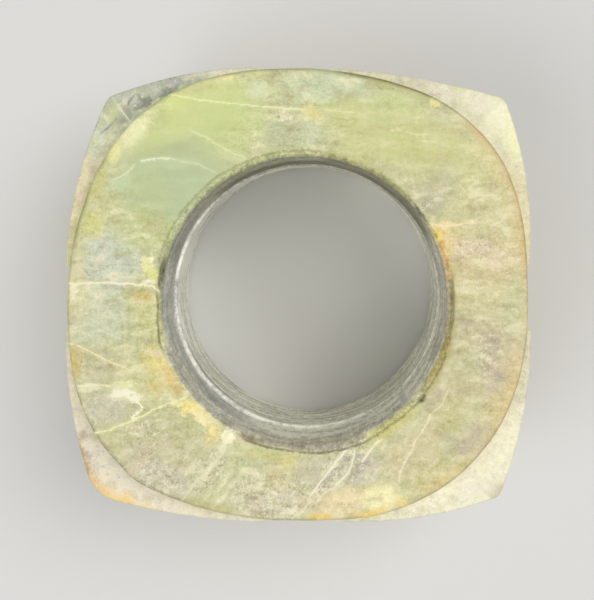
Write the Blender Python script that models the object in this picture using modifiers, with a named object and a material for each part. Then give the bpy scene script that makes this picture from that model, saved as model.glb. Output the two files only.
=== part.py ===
"""Jade cong: a squared tube of nephrite with a wide bore, a low collar at each end and a flute down each side.

Metres, +Z up. The origin is the middle of the footprint, on the plane that the lower collar stands on. Seen from
above, +X is to the right and +Y is up. The piece was cut and worn by hand, so each of its four corners has sizes
of its own. Two tiers of shallow carving wrap the corners, below the shoulders.
"""

import collections
import math

import bmesh
import bpy
from mathutils import Matrix

# Whole piece
WIDTH = 0.0900  # along X, between the crests of the panels
DEPTH = 0.0879  # along Y, between the crests of the panels
HEIGHT = 0.0500

# Collars, the same at both ends
COLLAR_HEIGHT = 0.0050
COLLAR_SETBACK_X = 0.0014  # from the crests of the panels in to the collar
COLLAR_SETBACK_Y = 0.00125
COLLAR_SHIFT_Y = 0.0003  # the collar stands a little off the middle of the body
COLLAR_EDGE_WEAR = 0.0006
SHOULDER_EDGE_WEAR = 0.0004

# Flutes, one down the middle of each side
FLUTE_WIDTH = 0.0124
FLUTE_LEDGE = 0.0001  # from the collar out to the flute's floor
FLUTE_SHIFT_RIGHT = -0.0005  # along the side, from its middle
FLUTE_SHIFT_LEFT = -0.0009
FLUTE_SHIFT_TOP = 0.0
FLUTE_SHIFT_BOTTOM = 0.0

# Bore, drilled from both ends, so that a ridge is left where the two holes meet
BORE_CENTRE_X = 0.0014
BORE_CENTRE_Y = -0.0010
UPPER_BORE_RADIUS = 0.0272
LOWER_BORE_RADIUS = 0.0268  # at the ridge
LOWER_BORE_FLARE = 0.0015  # how much wider the lower hole is at the underside
LOWER_BORE_SHIFT_X = 0.00025  # the lower hole missed the upper one by this much
LOWER_BORE_SHIFT_Y = 0.00015
RIDGE_DEPTH = 0.0190  # below the top face
MOUTH_WEAR_WIDTH = 0.00135
MOUTH_WEAR_DEPTH = 0.0018

# Carving, the same on every tier
TIERS = 2
TIER_GROOVE_HEIGHT = 0.0020  # between one tier and the next
TIER_GROOVE_DEPTH = 0.0006
BAND_HEIGHT = 0.0034  # two raised bands top each tier
BAND_GAP = 0.0010
FACE_DEPTH = 0.0005  # the field below the bands is sunk by this much
NOSE_HEIGHT = 0.0026  # a short bar is left standing across each corner
NOSE_LENGTH = 0.0085  # from the corner, along each side
NOSE_RISE = 0.0012  # above the foot of its tier
EYE_RADIUS = 0.0023  # a round eye is left standing on each side of the corner
EYE_FROM_CORNER = 0.0115
EYE_RISE = 0.0073  # of its middle, above the foot of its tier

# Corners, seen from above: which way each lies along X and Y, how far it falls in from the crests of the panels
# beside it, the radii of those panels, how much of the arris is worn off, and how square the collar is there
# (2 is round).
Corner = collections.namedtuple("Corner", "x y fall_x fall_y radius_x radius_y wear squareness")
CORNERS = (
    Corner(+1, +1, 0.00510, 0.00595, 0.0710, 0.1460, 0.0012, 2.50),
    Corner(-1, +1, 0.00825, 0.00575, 0.0800, 0.0800, 0.0007, 2.31),
    Corner(-1, -1, 0.00550, 0.00535, 0.0890, 0.1130, 0.0045, 2.60),
    Corner(+1, -1, 0.00610, 0.00485, 0.0810, 0.0786, 0.0010, 2.45),
)

# Fineness of the round forms
PANEL_SEGMENTS = 9
CORNER_SEGMENTS = 4
COLLAR_SEGMENTS = 96
BORE_SEGMENTS = 72
EYE_SEGMENTS = 14

CUT_CLEARANCE = 0.002  # how far a cutter runs on past what it cuts

COLLAR_HALF_X = WIDTH / 2 - COLLAR_SETBACK_X
COLLAR_HALF_Y = DEPTH / 2 - COLLAR_SETBACK_Y
BODY_FOOT = COLLAR_HEIGHT
BODY_TOP = HEIGHT - COLLAR_HEIGHT
TIER_HEIGHT = (BODY_TOP - BODY_FOOT - (TIERS - 1) * TIER_GROOVE_HEIGHT) / TIERS
FIELD_HEIGHT = TIER_HEIGHT - 2 * BAND_HEIGHT - BAND_GAP


def clear_scene():
    for old in list(bpy.data.objects):
        bpy.data.objects.remove(old, do_unlink=True)


def new_collection(name):
    collection = bpy.data.collections.new(name)
    bpy.context.scene.collection.children.link(collection)
    return collection


def nephrite():
    """Pale yellow-green stone with a soft polish."""
    material = bpy.data.materials.new("nephrite")
    material.use_nodes = True
    shader = material.node_tree.nodes["Principled BSDF"]
    shader.inputs["Base Color"].default_value = (0.52, 0.55, 0.32, 1.0)
    shader.inputs["Roughness"].default_value = 0.35
    shader.inputs["Metallic"].default_value = 0.0
    return material


def corner_point(corner, inset):
    """Distances of the sharp corner from the middle of the body, along X and along Y."""
    return WIDTH / 2 - corner.fall_x - inset, DEPTH / 2 - corner.fall_y - inset


def panel(corner_along, reach, fall, radius, wear):
    """One panel's arc as (along the side, out from the middle), from inside the flute to the worn corner."""
    centre_along = corner_along - math.sqrt(2 * radius * fall - fall * fall)
    centre_out = reach - radius
    first = math.asin((FLUTE_WIDTH / 4 - centre_along) / radius)
    last = math.asin((corner_along - centre_along) / radius) - wear / radius
    points = []
    for step in range(PANEL_SEGMENTS + 1):
        angle = first + (last - first) * step / PANEL_SEGMENTS
        points.append((centre_along + radius * math.sin(angle), centre_out + radius * math.cos(angle)))
    return points


def worn_arris(start, control, end):
    """The points between two panels' ends, on a curve that leaves the sharp corner outside."""
    points = []
    for step in range(1, CORNER_SEGMENTS):
        t = step / CORNER_SEGMENTS
        weights = ((1 - t) ** 2, 2 * t * (1 - t), t * t)
        points.append(tuple(sum(w * p[i] for w, p in zip(weights, (start, control, end))) for i in (0, 1)))
    return points


def body_outline(inset=0.0):
    """The squared plan of the body anticlockwise, drawn in by an inset. The flutes aren't in it."""
    outline = []
    for corner in CORNERS:
        out_x, out_y = corner_point(corner, inset)
        facing_x = [
            (corner.x * out, corner.y * along)
            for along, out in panel(out_y, WIDTH / 2 - inset, corner.fall_x, corner.radius_x, corner.wear)
        ]
        facing_y = [
            (corner.x * along, corner.y * out)
            for along, out in panel(out_x, DEPTH / 2 - inset, corner.fall_y, corner.radius_y, corner.wear)
        ]
        arris = worn_arris(facing_x[-1], (corner.x * out_x, corner.y * out_y), facing_y[-1])
        points = facing_x + arris + facing_y[::-1]
        outline += points if corner.x * corner.y > 0 else points[::-1]
    return outline


def collar_outline():
    """A rounded square: a superellipse whose squareness changes from quarter to quarter."""
    points = []
    for step in range(COLLAR_SEGMENTS):
        angle = 2 * math.pi * step / COLLAR_SEGMENTS
        across, up = math.cos(angle), math.sin(angle)
        power = next(c.squareness for c in CORNERS if c.x * across >= -1e-9 and c.y * up >= -1e-9)
        reach = ((abs(across) / COLLAR_HALF_X) ** power + (abs(up) / COLLAR_HALF_Y) ** power) ** (-1 / power)
        points.append((reach * across, reach * up + COLLAR_SHIFT_Y))
    return points


def clearing_outline():
    """A rectangle outside everything, for the outer side of a cutter that goes all round."""
    reach_x = WIDTH / 2 + CUT_CLEARANCE
    reach_y = DEPTH / 2 + CUT_CLEARANCE
    return [(reach_x, -reach_y), (reach_x, reach_y), (-reach_x, reach_y), (-reach_x, -reach_y)]


def add_object(name, mesh, collection, cutter=False):
    thing = bpy.data.objects.new(name, mesh)
    collection.objects.link(thing)
    if cutter:
        thing.hide_render = True
        thing.display_type = "WIRE"
    return thing


def prism(name, outlines, low, high, collection, cutter=False):
    """A flat outline, or the area between two, given thickness between two heights and made a closed mesh."""
    curve = bpy.data.curves.new(name + "_outline", "CURVE")
    curve.dimensions = "2D"
    curve.fill_mode = "BOTH"
    curve.extrude = (high - low) / 2
    for points in outlines:
        spline = curve.splines.new("POLY")
        spline.points.add(len(points) - 1)
        for point, (x, y) in zip(spline.points, points):
            point.co = (x, y, 0.0, 1.0)
        spline.use_cyclic_u = True
    guide = bpy.data.objects.new(name + "_outline", curve)
    bpy.context.scene.collection.objects.link(guide)
    graph = bpy.context.evaluated_depsgraph_get()
    mesh = bpy.data.meshes.new_from_object(guide.evaluated_get(graph))
    mesh.name = name
    bpy.data.objects.remove(guide, do_unlink=True)
    bpy.data.curves.remove(curve)
    shape = bmesh.new()
    shape.from_mesh(mesh)
    bmesh.ops.remove_doubles(shape, verts=shape.verts, dist=1e-6)
    bmesh.ops.dissolve_limit(shape, angle_limit=math.radians(0.3), verts=shape.verts, edges=shape.edges)
    bmesh.ops.recalc_face_normals(shape, faces=shape.faces)
    bmesh.ops.translate(shape, verts=shape.verts, vec=(0.0, 0.0, (low + high) / 2))
    shape.to_mesh(mesh)
    shape.free()
    return add_object(name, mesh, collection, cutter)


def add_box(shape, low, high):
    size = [h - l for l, h in zip(low, high)]
    middle = [(h + l) / 2 for l, h in zip(low, high)]
    placing = Matrix.Translation(middle) @ Matrix.Diagonal((*size, 1.0))
    bmesh.ops.create_cube(shape, size=1.0, matrix=placing)


def wear_edges(thing, width):
    """Rounds the arrises that run round a prism's two faces."""
    bevel = thing.modifiers.new("edge wear", "BEVEL")
    bevel.width = width
    bevel.segments = 2
    bevel.limit_method = "ANGLE"
    bevel.angle_limit = math.radians(60)


def boolean(thing, operation, other):
    modifier = thing.modifiers.new(f"{operation.lower()} {other.name}", "BOOLEAN")
    modifier.operation = operation
    modifier.solver = "EXACT"
    modifier.object = other


def flute_cutter(cutters):
    """Four boxes, each from its flute's floor out past the panels, over the whole height of the body."""
    low, high = BODY_FOOT - CUT_CLEARANCE, BODY_TOP + CUT_CLEARANCE
    floor_x = COLLAR_HALF_X + FLUTE_LEDGE
    floor_y = COLLAR_HALF_Y + FLUTE_LEDGE
    far_x = WIDTH / 2 + CUT_CLEARANCE
    far_y = DEPTH / 2 + CUT_CLEARANCE
    half = FLUTE_WIDTH / 2
    shape = bmesh.new()
    add_box(shape, (floor_x, FLUTE_SHIFT_RIGHT - half, low), (far_x, FLUTE_SHIFT_RIGHT + half, high))
    add_box(shape, (-far_x, FLUTE_SHIFT_LEFT - half, low), (-floor_x, FLUTE_SHIFT_LEFT + half, high))
    top_floor = COLLAR_SHIFT_Y + floor_y
    add_box(shape, (FLUTE_SHIFT_TOP - half, top_floor, low), (FLUTE_SHIFT_TOP + half, far_y, high))
    bottom_floor = COLLAR_SHIFT_Y - floor_y
    add_box(shape, (FLUTE_SHIFT_BOTTOM - half, -far_y, low), (FLUTE_SHIFT_BOTTOM + half, bottom_floor, high))
    mesh = bpy.data.meshes.new("flutes")
    shape.to_mesh(mesh)
    shape.free()
    return add_object("flutes", mesh, cutters, cutter=True)


def tier_feet():
    """The height at which each tier starts, from the top tier down."""
    return [BODY_TOP - TIER_HEIGHT - i * (TIER_HEIGHT + TIER_GROOVE_HEIGHT) for i in range(TIERS)]


def add_eye(shape, corner, foot, along, out, facing_x):
    """A short cylinder lying along X or Y, through the face of one panel."""
    length = 4 * CUT_CLEARANCE
    if facing_x:
        middle = (corner.x * out, corner.y * along, foot + EYE_RISE)
        turn = Matrix.Rotation(math.pi / 2, 4, "Y")
    else:
        middle = (corner.x * along, corner.y * out, foot + EYE_RISE)
        turn = Matrix.Rotation(math.pi / 2, 4, "X")
    bmesh.ops.create_cone(
        shape, cap_ends=True, segments=EYE_SEGMENTS, radius1=EYE_RADIUS, radius2=EYE_RADIUS, depth=length,
        matrix=Matrix.Translation(middle) @ turn,
    )


def add_nose(shape, corner, foot, out_x, out_y):
    """A box over the corner, which keeps a short bar of the full face on either side of it."""
    low_z = foot + NOSE_RISE
    ends_x = sorted((corner.x * (out_x - NOSE_LENGTH), corner.x * (WIDTH / 2 + 2 * CUT_CLEARANCE)))
    ends_y = sorted((corner.y * (out_y - NOSE_LENGTH), corner.y * (DEPTH / 2 + 2 * CUT_CLEARANCE)))
    add_box(shape, (ends_x[0], ends_y[0], low_z), (ends_x[1], ends_y[1], low_z + NOSE_HEIGHT))


def standing_features(cutters):
    """What the carver left standing in the sunk fields: a nose bar over each corner and an eye on each panel."""
    shape = bmesh.new()
    for foot in tier_feet():
        for corner in CORNERS:
            out_x, out_y = corner_point(corner, 0.0)
            add_nose(shape, corner, foot, out_x, out_y)
            add_eye(shape, corner, foot, out_y - EYE_FROM_CORNER, WIDTH / 2, facing_x=True)
            add_eye(shape, corner, foot, out_x - EYE_FROM_CORNER, DEPTH / 2, facing_x=False)
    mesh = bpy.data.meshes.new("noses_and_eyes")
    shape.to_mesh(mesh)
    shape.free()
    return add_object("noses_and_eyes", mesh, cutters, cutter=True)


def carving_cutters(cutters):
    """Rings that sink the gap between the bands, the field below them and the groove between the tiers."""
    standing = standing_features(cutters)
    sunk = body_outline(FACE_DEPTH)
    outside = clearing_outline()
    rings = []
    for number, foot in enumerate(tier_feet(), start=1):
        field = prism(f"field_{number}", [outside, sunk], foot, foot + FIELD_HEIGHT, cutters, cutter=True)
        boolean(field, "DIFFERENCE", standing)
        gap_low = foot + FIELD_HEIGHT + BAND_HEIGHT
        gap = prism(f"band_gap_{number}", [outside, sunk], gap_low, gap_low + BAND_GAP, cutters, cutter=True)
        rings += [field, gap]
        if number < TIERS:
            rings.append(
                prism(
                    f"tier_groove_{number}", [outside, body_outline(TIER_GROOVE_DEPTH)],
                    foot - TIER_GROOVE_HEIGHT, foot, cutters, cutter=True,
                )
            )
    return rings


def turned(name, profile, centre, collection):
    """A solid of revolution from a profile of (radius, height) points, which runs from top to bottom."""
    shape = bmesh.new()
    points = [shape.verts.new((radius, 0.0, height)) for radius, height in profile]
    for upper, lower in zip(points, points[1:]):
        shape.edges.new((upper, lower))
    mesh = bpy.data.meshes.new(name)
    shape.to_mesh(mesh)
    shape.free()
    thing = add_object(name, mesh, collection, cutter=True)
    thing.location = (*centre, 0.0)
    screw = thing.modifiers.new("turn", "SCREW")
    screw.steps = BORE_SEGMENTS
    screw.render_steps = BORE_SEGMENTS
    screw.use_merge_vertices = True
    screw.merge_threshold = 1e-6
    return thing


def worn_mouth(radius, face, into):
    """Profile points from a face of the piece to the wall of the bore, which lies on the side of it given."""
    width, depth = MOUTH_WEAR_WIDTH, MOUTH_WEAR_DEPTH
    bends = ((1.0, 0.0), (0.42, 0.22), (0.12, 0.55), (0.0, 1.0))
    return [(radius + width * out, face + into * depth * deep) for out, deep in bends]


def bore_cutters(cutters):
    """The two holes that meet at the ridge, each with a worn mouth."""
    ridge = HEIGHT - RIDGE_DEPTH
    upper = [(0.0, HEIGHT + CUT_CLEARANCE), (UPPER_BORE_RADIUS + MOUTH_WEAR_WIDTH, HEIGHT + CUT_CLEARANCE)]
    upper += worn_mouth(UPPER_BORE_RADIUS, HEIGHT, -1)
    upper += [(UPPER_BORE_RADIUS, ridge), (0.0, ridge)]
    foot_radius = LOWER_BORE_RADIUS + LOWER_BORE_FLARE
    lower = [(0.0, ridge + CUT_CLEARANCE), (LOWER_BORE_RADIUS, ridge + CUT_CLEARANCE), (LOWER_BORE_RADIUS, ridge)]
    lower += worn_mouth(foot_radius, 0.0, +1)[::-1]
    lower += [(foot_radius + MOUTH_WEAR_WIDTH, -CUT_CLEARANCE), (0.0, -CUT_CLEARANCE)]
    centre = (BORE_CENTRE_X, BORE_CENTRE_Y)
    missed = (BORE_CENTRE_X + LOWER_BORE_SHIFT_X, BORE_CENTRE_Y + LOWER_BORE_SHIFT_Y)
    return [turned("bore_from_above", upper, centre, cutters), turned("bore_from_below", lower, missed, cutters)]


def shade(thing, angle):
    thing.data.shade_smooth()
    thing.data.set_sharp_from_angle(angle=math.radians(angle))


def main():
    clear_scene()
    cong = new_collection("jade cong")
    cutters = new_collection("cutters")

    body = prism("jade_cong", [body_outline()], BODY_FOOT, BODY_TOP, cong)
    wear_edges(body, SHOULDER_EDGE_WEAR)
    for ring in carving_cutters(cutters):
        boolean(body, "DIFFERENCE", ring)
    boolean(body, "DIFFERENCE", flute_cutter(cutters))

    collar = prism("collars", [collar_outline()], 0.0, HEIGHT, cutters, cutter=True)
    wear_edges(collar, COLLAR_EDGE_WEAR)
    boolean(body, "UNION", collar)

    for hole in bore_cutters(cutters):
        boolean(body, "DIFFERENCE", hole)

    body.data.materials.append(nephrite())
    shade(body, 35)


main()
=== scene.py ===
"""Looks of the jade cong: one finely carved mesh that stands for the solid, its stone, light and floor.

Lengths are in millimetres in the frame of the part, unless a comment says otherwise, and become metres where
Blender takes them. Seen from above, +X is to the right and +Y is up, and the top face is at the full height.
"""

import collections
import math

import bpy
import numpy as np
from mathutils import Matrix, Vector, noise


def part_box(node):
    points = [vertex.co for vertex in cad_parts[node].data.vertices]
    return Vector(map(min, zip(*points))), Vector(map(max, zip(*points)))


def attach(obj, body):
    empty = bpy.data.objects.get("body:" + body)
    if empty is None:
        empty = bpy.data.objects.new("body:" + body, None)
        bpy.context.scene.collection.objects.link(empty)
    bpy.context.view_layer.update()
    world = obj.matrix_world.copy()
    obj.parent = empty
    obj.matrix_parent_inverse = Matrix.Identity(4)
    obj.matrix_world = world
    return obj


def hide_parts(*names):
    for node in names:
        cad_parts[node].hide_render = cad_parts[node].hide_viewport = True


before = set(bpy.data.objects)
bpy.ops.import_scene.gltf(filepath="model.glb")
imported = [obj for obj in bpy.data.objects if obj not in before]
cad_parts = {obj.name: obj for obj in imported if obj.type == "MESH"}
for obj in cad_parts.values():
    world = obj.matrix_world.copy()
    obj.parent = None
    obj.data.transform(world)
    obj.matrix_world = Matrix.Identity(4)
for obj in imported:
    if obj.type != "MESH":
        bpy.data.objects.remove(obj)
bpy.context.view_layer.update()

MM = 0.001
NODE_LOW, NODE_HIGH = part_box("jade_cong")
WIDTH, DEPTH, HEIGHT = (NODE_HIGH - NODE_LOW) / MM

NOISE_SEED = 4  # without it, the noise that moves the colours' edges would differ from run to run

# Camera, straight above the top face
CAMERA_DISTANCE = 200.0
CAMERA_X = 4.03
CAMERA_Y = 10.76
CAMERA_LENS = 63.66
CAMERA_SENSOR = 36.0
FRAME_SIDE_PIXELS = 600
NADIR_RIGHT_PIXELS = 22  # the point below the camera stands off the middle of the frame by this much
NADIR_UP_PIXELS = 61
CAMERA_CLIP_START = 5.0

# Floor and lights, in metres. A light has a name, a place, a width, a power in watts and a colour.
FLOOR_SIZE = 4.0
FLOOR_COLOUR = (0.78, 0.78, 0.77, 1)
FLOOR_ROUGHNESS = 0.9
LIGHTS = (
    ("key", (0.4, 0.22, 0.85), 0.6, 3.9, (1.0, 0.98, 0.96)),
    ("fill", (-0.5, -0.35, 0.75), 0.7, 3.35, (1.0, 1.0, 1.0)),
)
WORLD_STRENGTH = 0.36

# Collars
COLLAR_HEIGHT = 5.0
COLLAR_SETBACK_X = 1.4
COLLAR_SETBACK_Y = 1.25
COLLAR_SHIFT_Y = 0.3
COLLAR_EDGE_WEAR = 0.6
COLLAR_EDGE_WEATHERED = 0.45  # how weathered the stone is at the foot of that rounding, from 0 to 1
COLLAR_FILLET_REACH = 0.25  # of the hollow where the collar meets the shoulder
COLLAR_FILLET_RISE = 0.12
SHOULDER_EDGE_WEAR = 0.4

# Flutes
FLUTE_WIDTH = 12.4
FLUTE_LEDGE = 0.1
FLUTE_SHIFT_RIGHT = -0.5
FLUTE_SHIFT_LEFT = -0.9
FLUTE_WALL_RUN = 0.5  # how far the worn wall of a flute takes to come down

# Bore
BORE_X = 1.4
BORE_Y = -1.0
UPPER_BORE_RADIUS = 27.2
LOWER_BORE_RADIUS = 26.8
LOWER_BORE_FLARE = 1.5
LOWER_BORE_SHIFT_X = 0.25
LOWER_BORE_SHIFT_Y = 0.15
RIDGE_DEPTH = 19.0
MOUTH_WEAR_WIDTH = 1.35
MOUTH_WEAR_DEPTH = 1.8
MOUTH_DEEPER = 0.25  # the share by which the wear is deeper on one side, and where that is
MOUTH_DEEPEST_DEGREES = 45

# Carving
TIERS = 2
TIER_GROOVE_HEIGHT = 2.0
TIER_GROOVE_DEPTH = 0.6
BAND_HEIGHT = 3.4
BAND_GAP = 1.0
FACE_DEPTH = 0.5
NOSE_HEIGHT = 2.6
NOSE_LENGTH = 8.5
NOSE_RISE = 1.2
EYE_RADIUS = 2.3
EYE_FROM_CORNER = 11.5
EYE_RISE = 7.3
EYE_RING_RADIUS = 1.35
EYE_RING_WIDTH = 0.35
EYE_RING_DEPTH = 0.26
CARVING_WEAR = 0.22  # half the run of a worn carved edge
DARKENING_REACH = 0.8  # how far the darkening reaches from a carved edge
EYE_DARKENING = 0.7
FIELD_DARKENING = 0.15

# Unevenness that grinding by hand and weathering left
UNEVEN_SIZE = 7.0
UNEVEN_DEPTH = 0.07
PITTED_SIZE = 1.8
PITTED_DEPTH = 0.05
EVENED_HEIGHT = 2.0  # from this height down, the unevenness fades to nothing at the foot

# Corners, as in the solid: which way each lies, how far it falls in, the panels' radii, wear and squareness
Corner = collections.namedtuple("Corner", "x y fall_x fall_y radius_x radius_y wear squareness")
CORNERS = (
    Corner(+1, +1, 5.10, 5.95, 71.0, 146.0, 1.2, 2.50),
    Corner(-1, +1, 8.25, 5.75, 80.0, 80.0, 0.7, 2.31),
    Corner(-1, -1, 5.50, 5.35, 89.0, 113.0, 4.5, 2.60),
    Corner(+1, -1, 6.10, 4.85, 81.0, 78.6, 1.0, 2.45),
)

# How far the mouth's edge and the collar's rim stand out from their plain curves, at degrees round the bore
MOUTH_SWAYS = (
    (0, -0.45), (12, -0.25), (24, -0.2), (34, -0.6), (46, -0.35), (62, -0.15), (90, 0.05), (120, 0.3),
    (160, 0.3), (172, 0), (181, -0.7), (189, -0.4), (197, 0.1), (206, -0.35), (238, -0.35), (246, 0),
    (262, -0.1), (275, 0.2), (286, 0.5), (294, 0.35), (301, 0), (320, 0.15), (334, 0), (347, -0.25),
)
RIM_SWAYS = (
    (8, -0.1), (22, 0.05), (35, 0.25), (50, -0.2), (66, -0.65), (76, -0.5), (88, 0), (100, 0.1), (118, 0.3),
    (134, 0.1), (143, -0.4), (156, -0.8), (167, -0.5), (180, -0.1), (200, 0.1), (221, -0.15), (227, 0.05),
    (238, -0.65), (250, -0.4), (262, 0), (276, 0.1), (288, 0.4), (300, 0.15), (320, -0.2), (336, -0.1),
    (350, 0.05),
)

# Waves round the bore: how far each reaches, how many there are and where they start
MOUTH_RIPPLES = ((0.05, 17, 2.0), (0.04, 41, 0.0))
RIDGE_RIPPLES = ((0.12, 3, 0.7), (0.05, 8, 0.0))

# Rings that the drill left: how deep, how close in radians a millimetre, how uneven and where they start
UPPER_RINGS = (0.06, 2.6, 0.8, 1.0)
LOWER_RINGS = (0.07, 2.1, 0.6, 0.0)

# Fineness of the mesh
FLOOR_COLUMNS = 5
WALL_COLUMNS = 7
PANEL_COLUMNS = 58
ARRIS_COLUMNS = 10
BODY_ROW_SPACING = 0.68
FACE_ROWS = 29
UPPER_BORE_ROWS = 14
LOWER_BORE_ROWS = 14
COLLAR_WALL_ROWS = ((2.2, 0.5), (3.8, 0.7))  # how far below the top, and how weathered the stone is there
COLLAR_FOOT_GAP = 0.35  # from the shoulder to the collar's last row
COLLAR_WALL_RIM = -0.7  # the wall counts as this far past the rim, so that it takes the rim's edge colours
UNDER_COLLAR_ROW = 2.6
UNDERSIDE_ROWS = (0.3, 0.6, 0.85, 1.0)  # shares of the way in to the lower hole's mouth
SHOULDER_ROWS = (0.3, 0.65, 1.0)
FILLET_ROW = 0.02  # share of the shoulder's width where the row in its hollow is
FILLET_SHARE = 0.2  # the most of the shoulder's width that the hollow takes
EDGE_SHARE = 0.3  # and that its worn edge takes
LEDGE_ROWS = ((0.0, 0.0), (0.35, 0.1), (0.8, 0.16), (1.0, 0.45))  # share of the way out, and rise
LEDGE_GAP_BELOW = 0.25
LEDGE_GAP_ABOVE = 1.0
LEDGE_LIP = 0.06
PANEL_CLOSING = 1.3  # more than 1 puts the columns closer together towards a corner
WALL_MARGIN = 0.8  # the columns of a flute's wall reach this many of its runs to either side
FACE_EVENNESS = 0.65  # the rest of the face's rings is closer together at both edges
COLLAR_SEARCH = (20.0, 70.0)  # the collar's outline is looked for between these, by halving
HALVINGS = 40

COLLAR_HALF_X = WIDTH / 2 - COLLAR_SETBACK_X
COLLAR_HALF_Y = DEPTH / 2 - COLLAR_SETBACK_Y
BODY_FOOT = COLLAR_HEIGHT
BODY_TOP = HEIGHT - COLLAR_HEIGHT
TIER_HEIGHT = (BODY_TOP - BODY_FOOT - (TIERS - 1) * TIER_GROOVE_HEIGHT) / TIERS
TIER_FEET = [BODY_TOP - TIER_HEIGHT - i * (TIER_HEIGHT + TIER_GROOVE_HEIGHT) for i in range(TIERS)]
FIELD_HEIGHT = TIER_HEIGHT - 2 * BAND_HEIGHT - BAND_GAP
RIDGE = HEIGHT - RIDGE_DEPTH
BORE_CENTRE = np.array((BORE_X, BORE_Y))
LOWER_CENTRE = BORE_CENTRE + (LOWER_BORE_SHIFT_X, LOWER_BORE_SHIFT_Y)
FOOT_RADIUS = LOWER_BORE_RADIUS + LOWER_BORE_FLARE
FAR = 99.0  # a distance for places that have no such edge near them
FAINT = 1e-6  # too small to show, and keeps a division from failing
IN_BORE = {"mouth": -FAR, "rim": FAR, "bore": 1.0}  # marks of the rows deep in the bore


def table(kind, *rows):
    return [kind(*row) for row in rows]


def smooth(low, high, value):
    """Rises from 0 at low to 1 at high, level at both ends."""
    share = np.clip((value - low) / (high - low), 0.0, 1.0)
    return share * share * (3 - 2 * share)


def blend(first, second, share):
    """From the first to the second, where share goes from 0 to 1 for each point."""
    share = np.asarray(share)
    if np.ndim(first) > np.ndim(share):
        share = share[..., None]
    return first * (1 - share) + second * share


def half_side(corner, facing_x):
    """Columns from the middle of a side to its worn corner, in plan, with what each needs."""
    if facing_x:
        reach, fall, radius = WIDTH / 2, corner.fall_x, corner.radius_x
        corner_along = DEPTH / 2 - corner.fall_y
        floor_out = COLLAR_HALF_X + FLUTE_LEDGE
        flute_shift = corner.y * (FLUTE_SHIFT_RIGHT if corner.x > 0 else FLUTE_SHIFT_LEFT)
    else:
        reach, fall, radius = DEPTH / 2, corner.fall_y, corner.radius_y
        corner_along = WIDTH / 2 - corner.fall_x
        floor_out = COLLAR_HALF_Y + FLUTE_LEDGE + corner.y * COLLAR_SHIFT_Y
        flute_shift = 0.0
    centre_along = corner_along - math.sqrt(2 * radius * fall - fall * fall)
    edge = FLUTE_WIDTH / 2 + flute_shift
    wall_start = edge - WALL_MARGIN * FLUTE_WALL_RUN
    wall_end = edge + WALL_MARGIN * FLUTE_WALL_RUN
    last_angle = math.asin((corner_along - centre_along) / radius) - corner.wear / radius
    last = centre_along + radius * math.sin(last_angle)
    closing = 1 - (1 - np.linspace(0, 1, PANEL_COLUMNS)) ** PANEL_CLOSING
    along = np.concatenate((
        wall_start / (FLOOR_COLUMNS + 0.5) * (np.arange(FLOOR_COLUMNS) + 0.5),
        np.linspace(wall_start, wall_end, WALL_COLUMNS, endpoint=False),
        wall_end + (last - wall_end) * closing,
    ))
    sine = (along - centre_along) / radius
    cosine = np.sqrt(1 - sine * sine)
    flute = 1 - smooth(edge - FLUTE_WALL_RUN / 2, edge + FLUTE_WALL_RUN / 2, along)

    def turn(along, out):
        pair = (corner.x * out, corner.y * along) if facing_x else (corner.x * along, corner.y * out)
        return np.stack(pair, axis=1)

    return {
        "place": turn(along, reach - radius + radius * cosine),
        "facing": turn(sine * (1 - flute), blend(cosine, 1.0, flute)),
        "floor": turn(along, np.full(len(along), floor_out)),
        "flute": flute,
        "to_corner": corner_along - along,
    }


def arris(corner, first, second):
    """Columns over the worn corner between two half sides: a curve that leaves the sharp corner outside."""
    sharp = np.array((corner.x * (WIDTH / 2 - corner.fall_x), corner.y * (DEPTH / 2 - corner.fall_y)))
    share = (np.arange(1, ARRIS_COLUMNS + 1) / (ARRIS_COLUMNS + 1))[:, None]
    start, end = first["place"][-1], second["place"][-1]
    place = (1 - share) ** 2 * start + 2 * share * (1 - share) * sharp + share ** 2 * end
    facing = (1 - share) * first["facing"][-1] + share * second["facing"][-1]
    facing /= np.linalg.norm(facing, axis=1)[:, None]
    nothing = np.zeros(ARRIS_COLUMNS)
    return {"place": place, "facing": facing, "floor": place, "flute": nothing, "to_corner": nothing}


def plan_columns():
    """Every column of the mesh, anticlockwise from the middle of the right side."""
    runs = []
    for corner in CORNERS:
        first, second = half_side(corner, True), half_side(corner, False)
        over = arris(corner, first, second)
        run = {key: np.concatenate((first[key], over[key], second[key][::-1])) for key in over}
        if corner.x * corner.y < 0:
            run = {key: values[::-1] for key, values in run.items()}
        runs.append(run)
    columns = {key: np.concatenate([run[key] for run in runs]) for key in runs[0]}
    from_bore = columns["place"] - BORE_CENTRE
    columns["angle"] = np.arctan2(from_bore[:, 1], from_bore[:, 0])
    columns["ray"] = from_bore / np.linalg.norm(from_bore, axis=1)[:, None]
    columns["collar"] = collar_reach(columns["ray"]) + sway(columns["angle"], RIM_SWAYS)
    return columns


def collar_reach(ray):
    """How far the collar's plain outline is from the bore's middle along each ray."""
    near, far = (np.full(len(ray), reach) for reach in COLLAR_SEARCH)
    for _ in range(HALVINGS):
        middle = (near + far) / 2
        points = ray * middle[:, None] + (BORE_X, BORE_Y - COLLAR_SHIFT_Y)
        power = np.full(len(ray), 2.0)
        for corner in CORNERS:
            quarter = (corner.x * points[:, 0] >= 0) & (corner.y * points[:, 1] >= 0)
            power[quarter] = corner.squareness
        level = np.sum(np.abs(points / (COLLAR_HALF_X, COLLAR_HALF_Y)) ** power[:, None], axis=1)
        near = np.where(level < 1, middle, near)
        far = np.where(level < 1, far, middle)
    return near


def sway(angle, sways):
    places, reach = zip(*sways)
    return np.interp(np.degrees(angle), places, reach, period=360)


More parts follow.
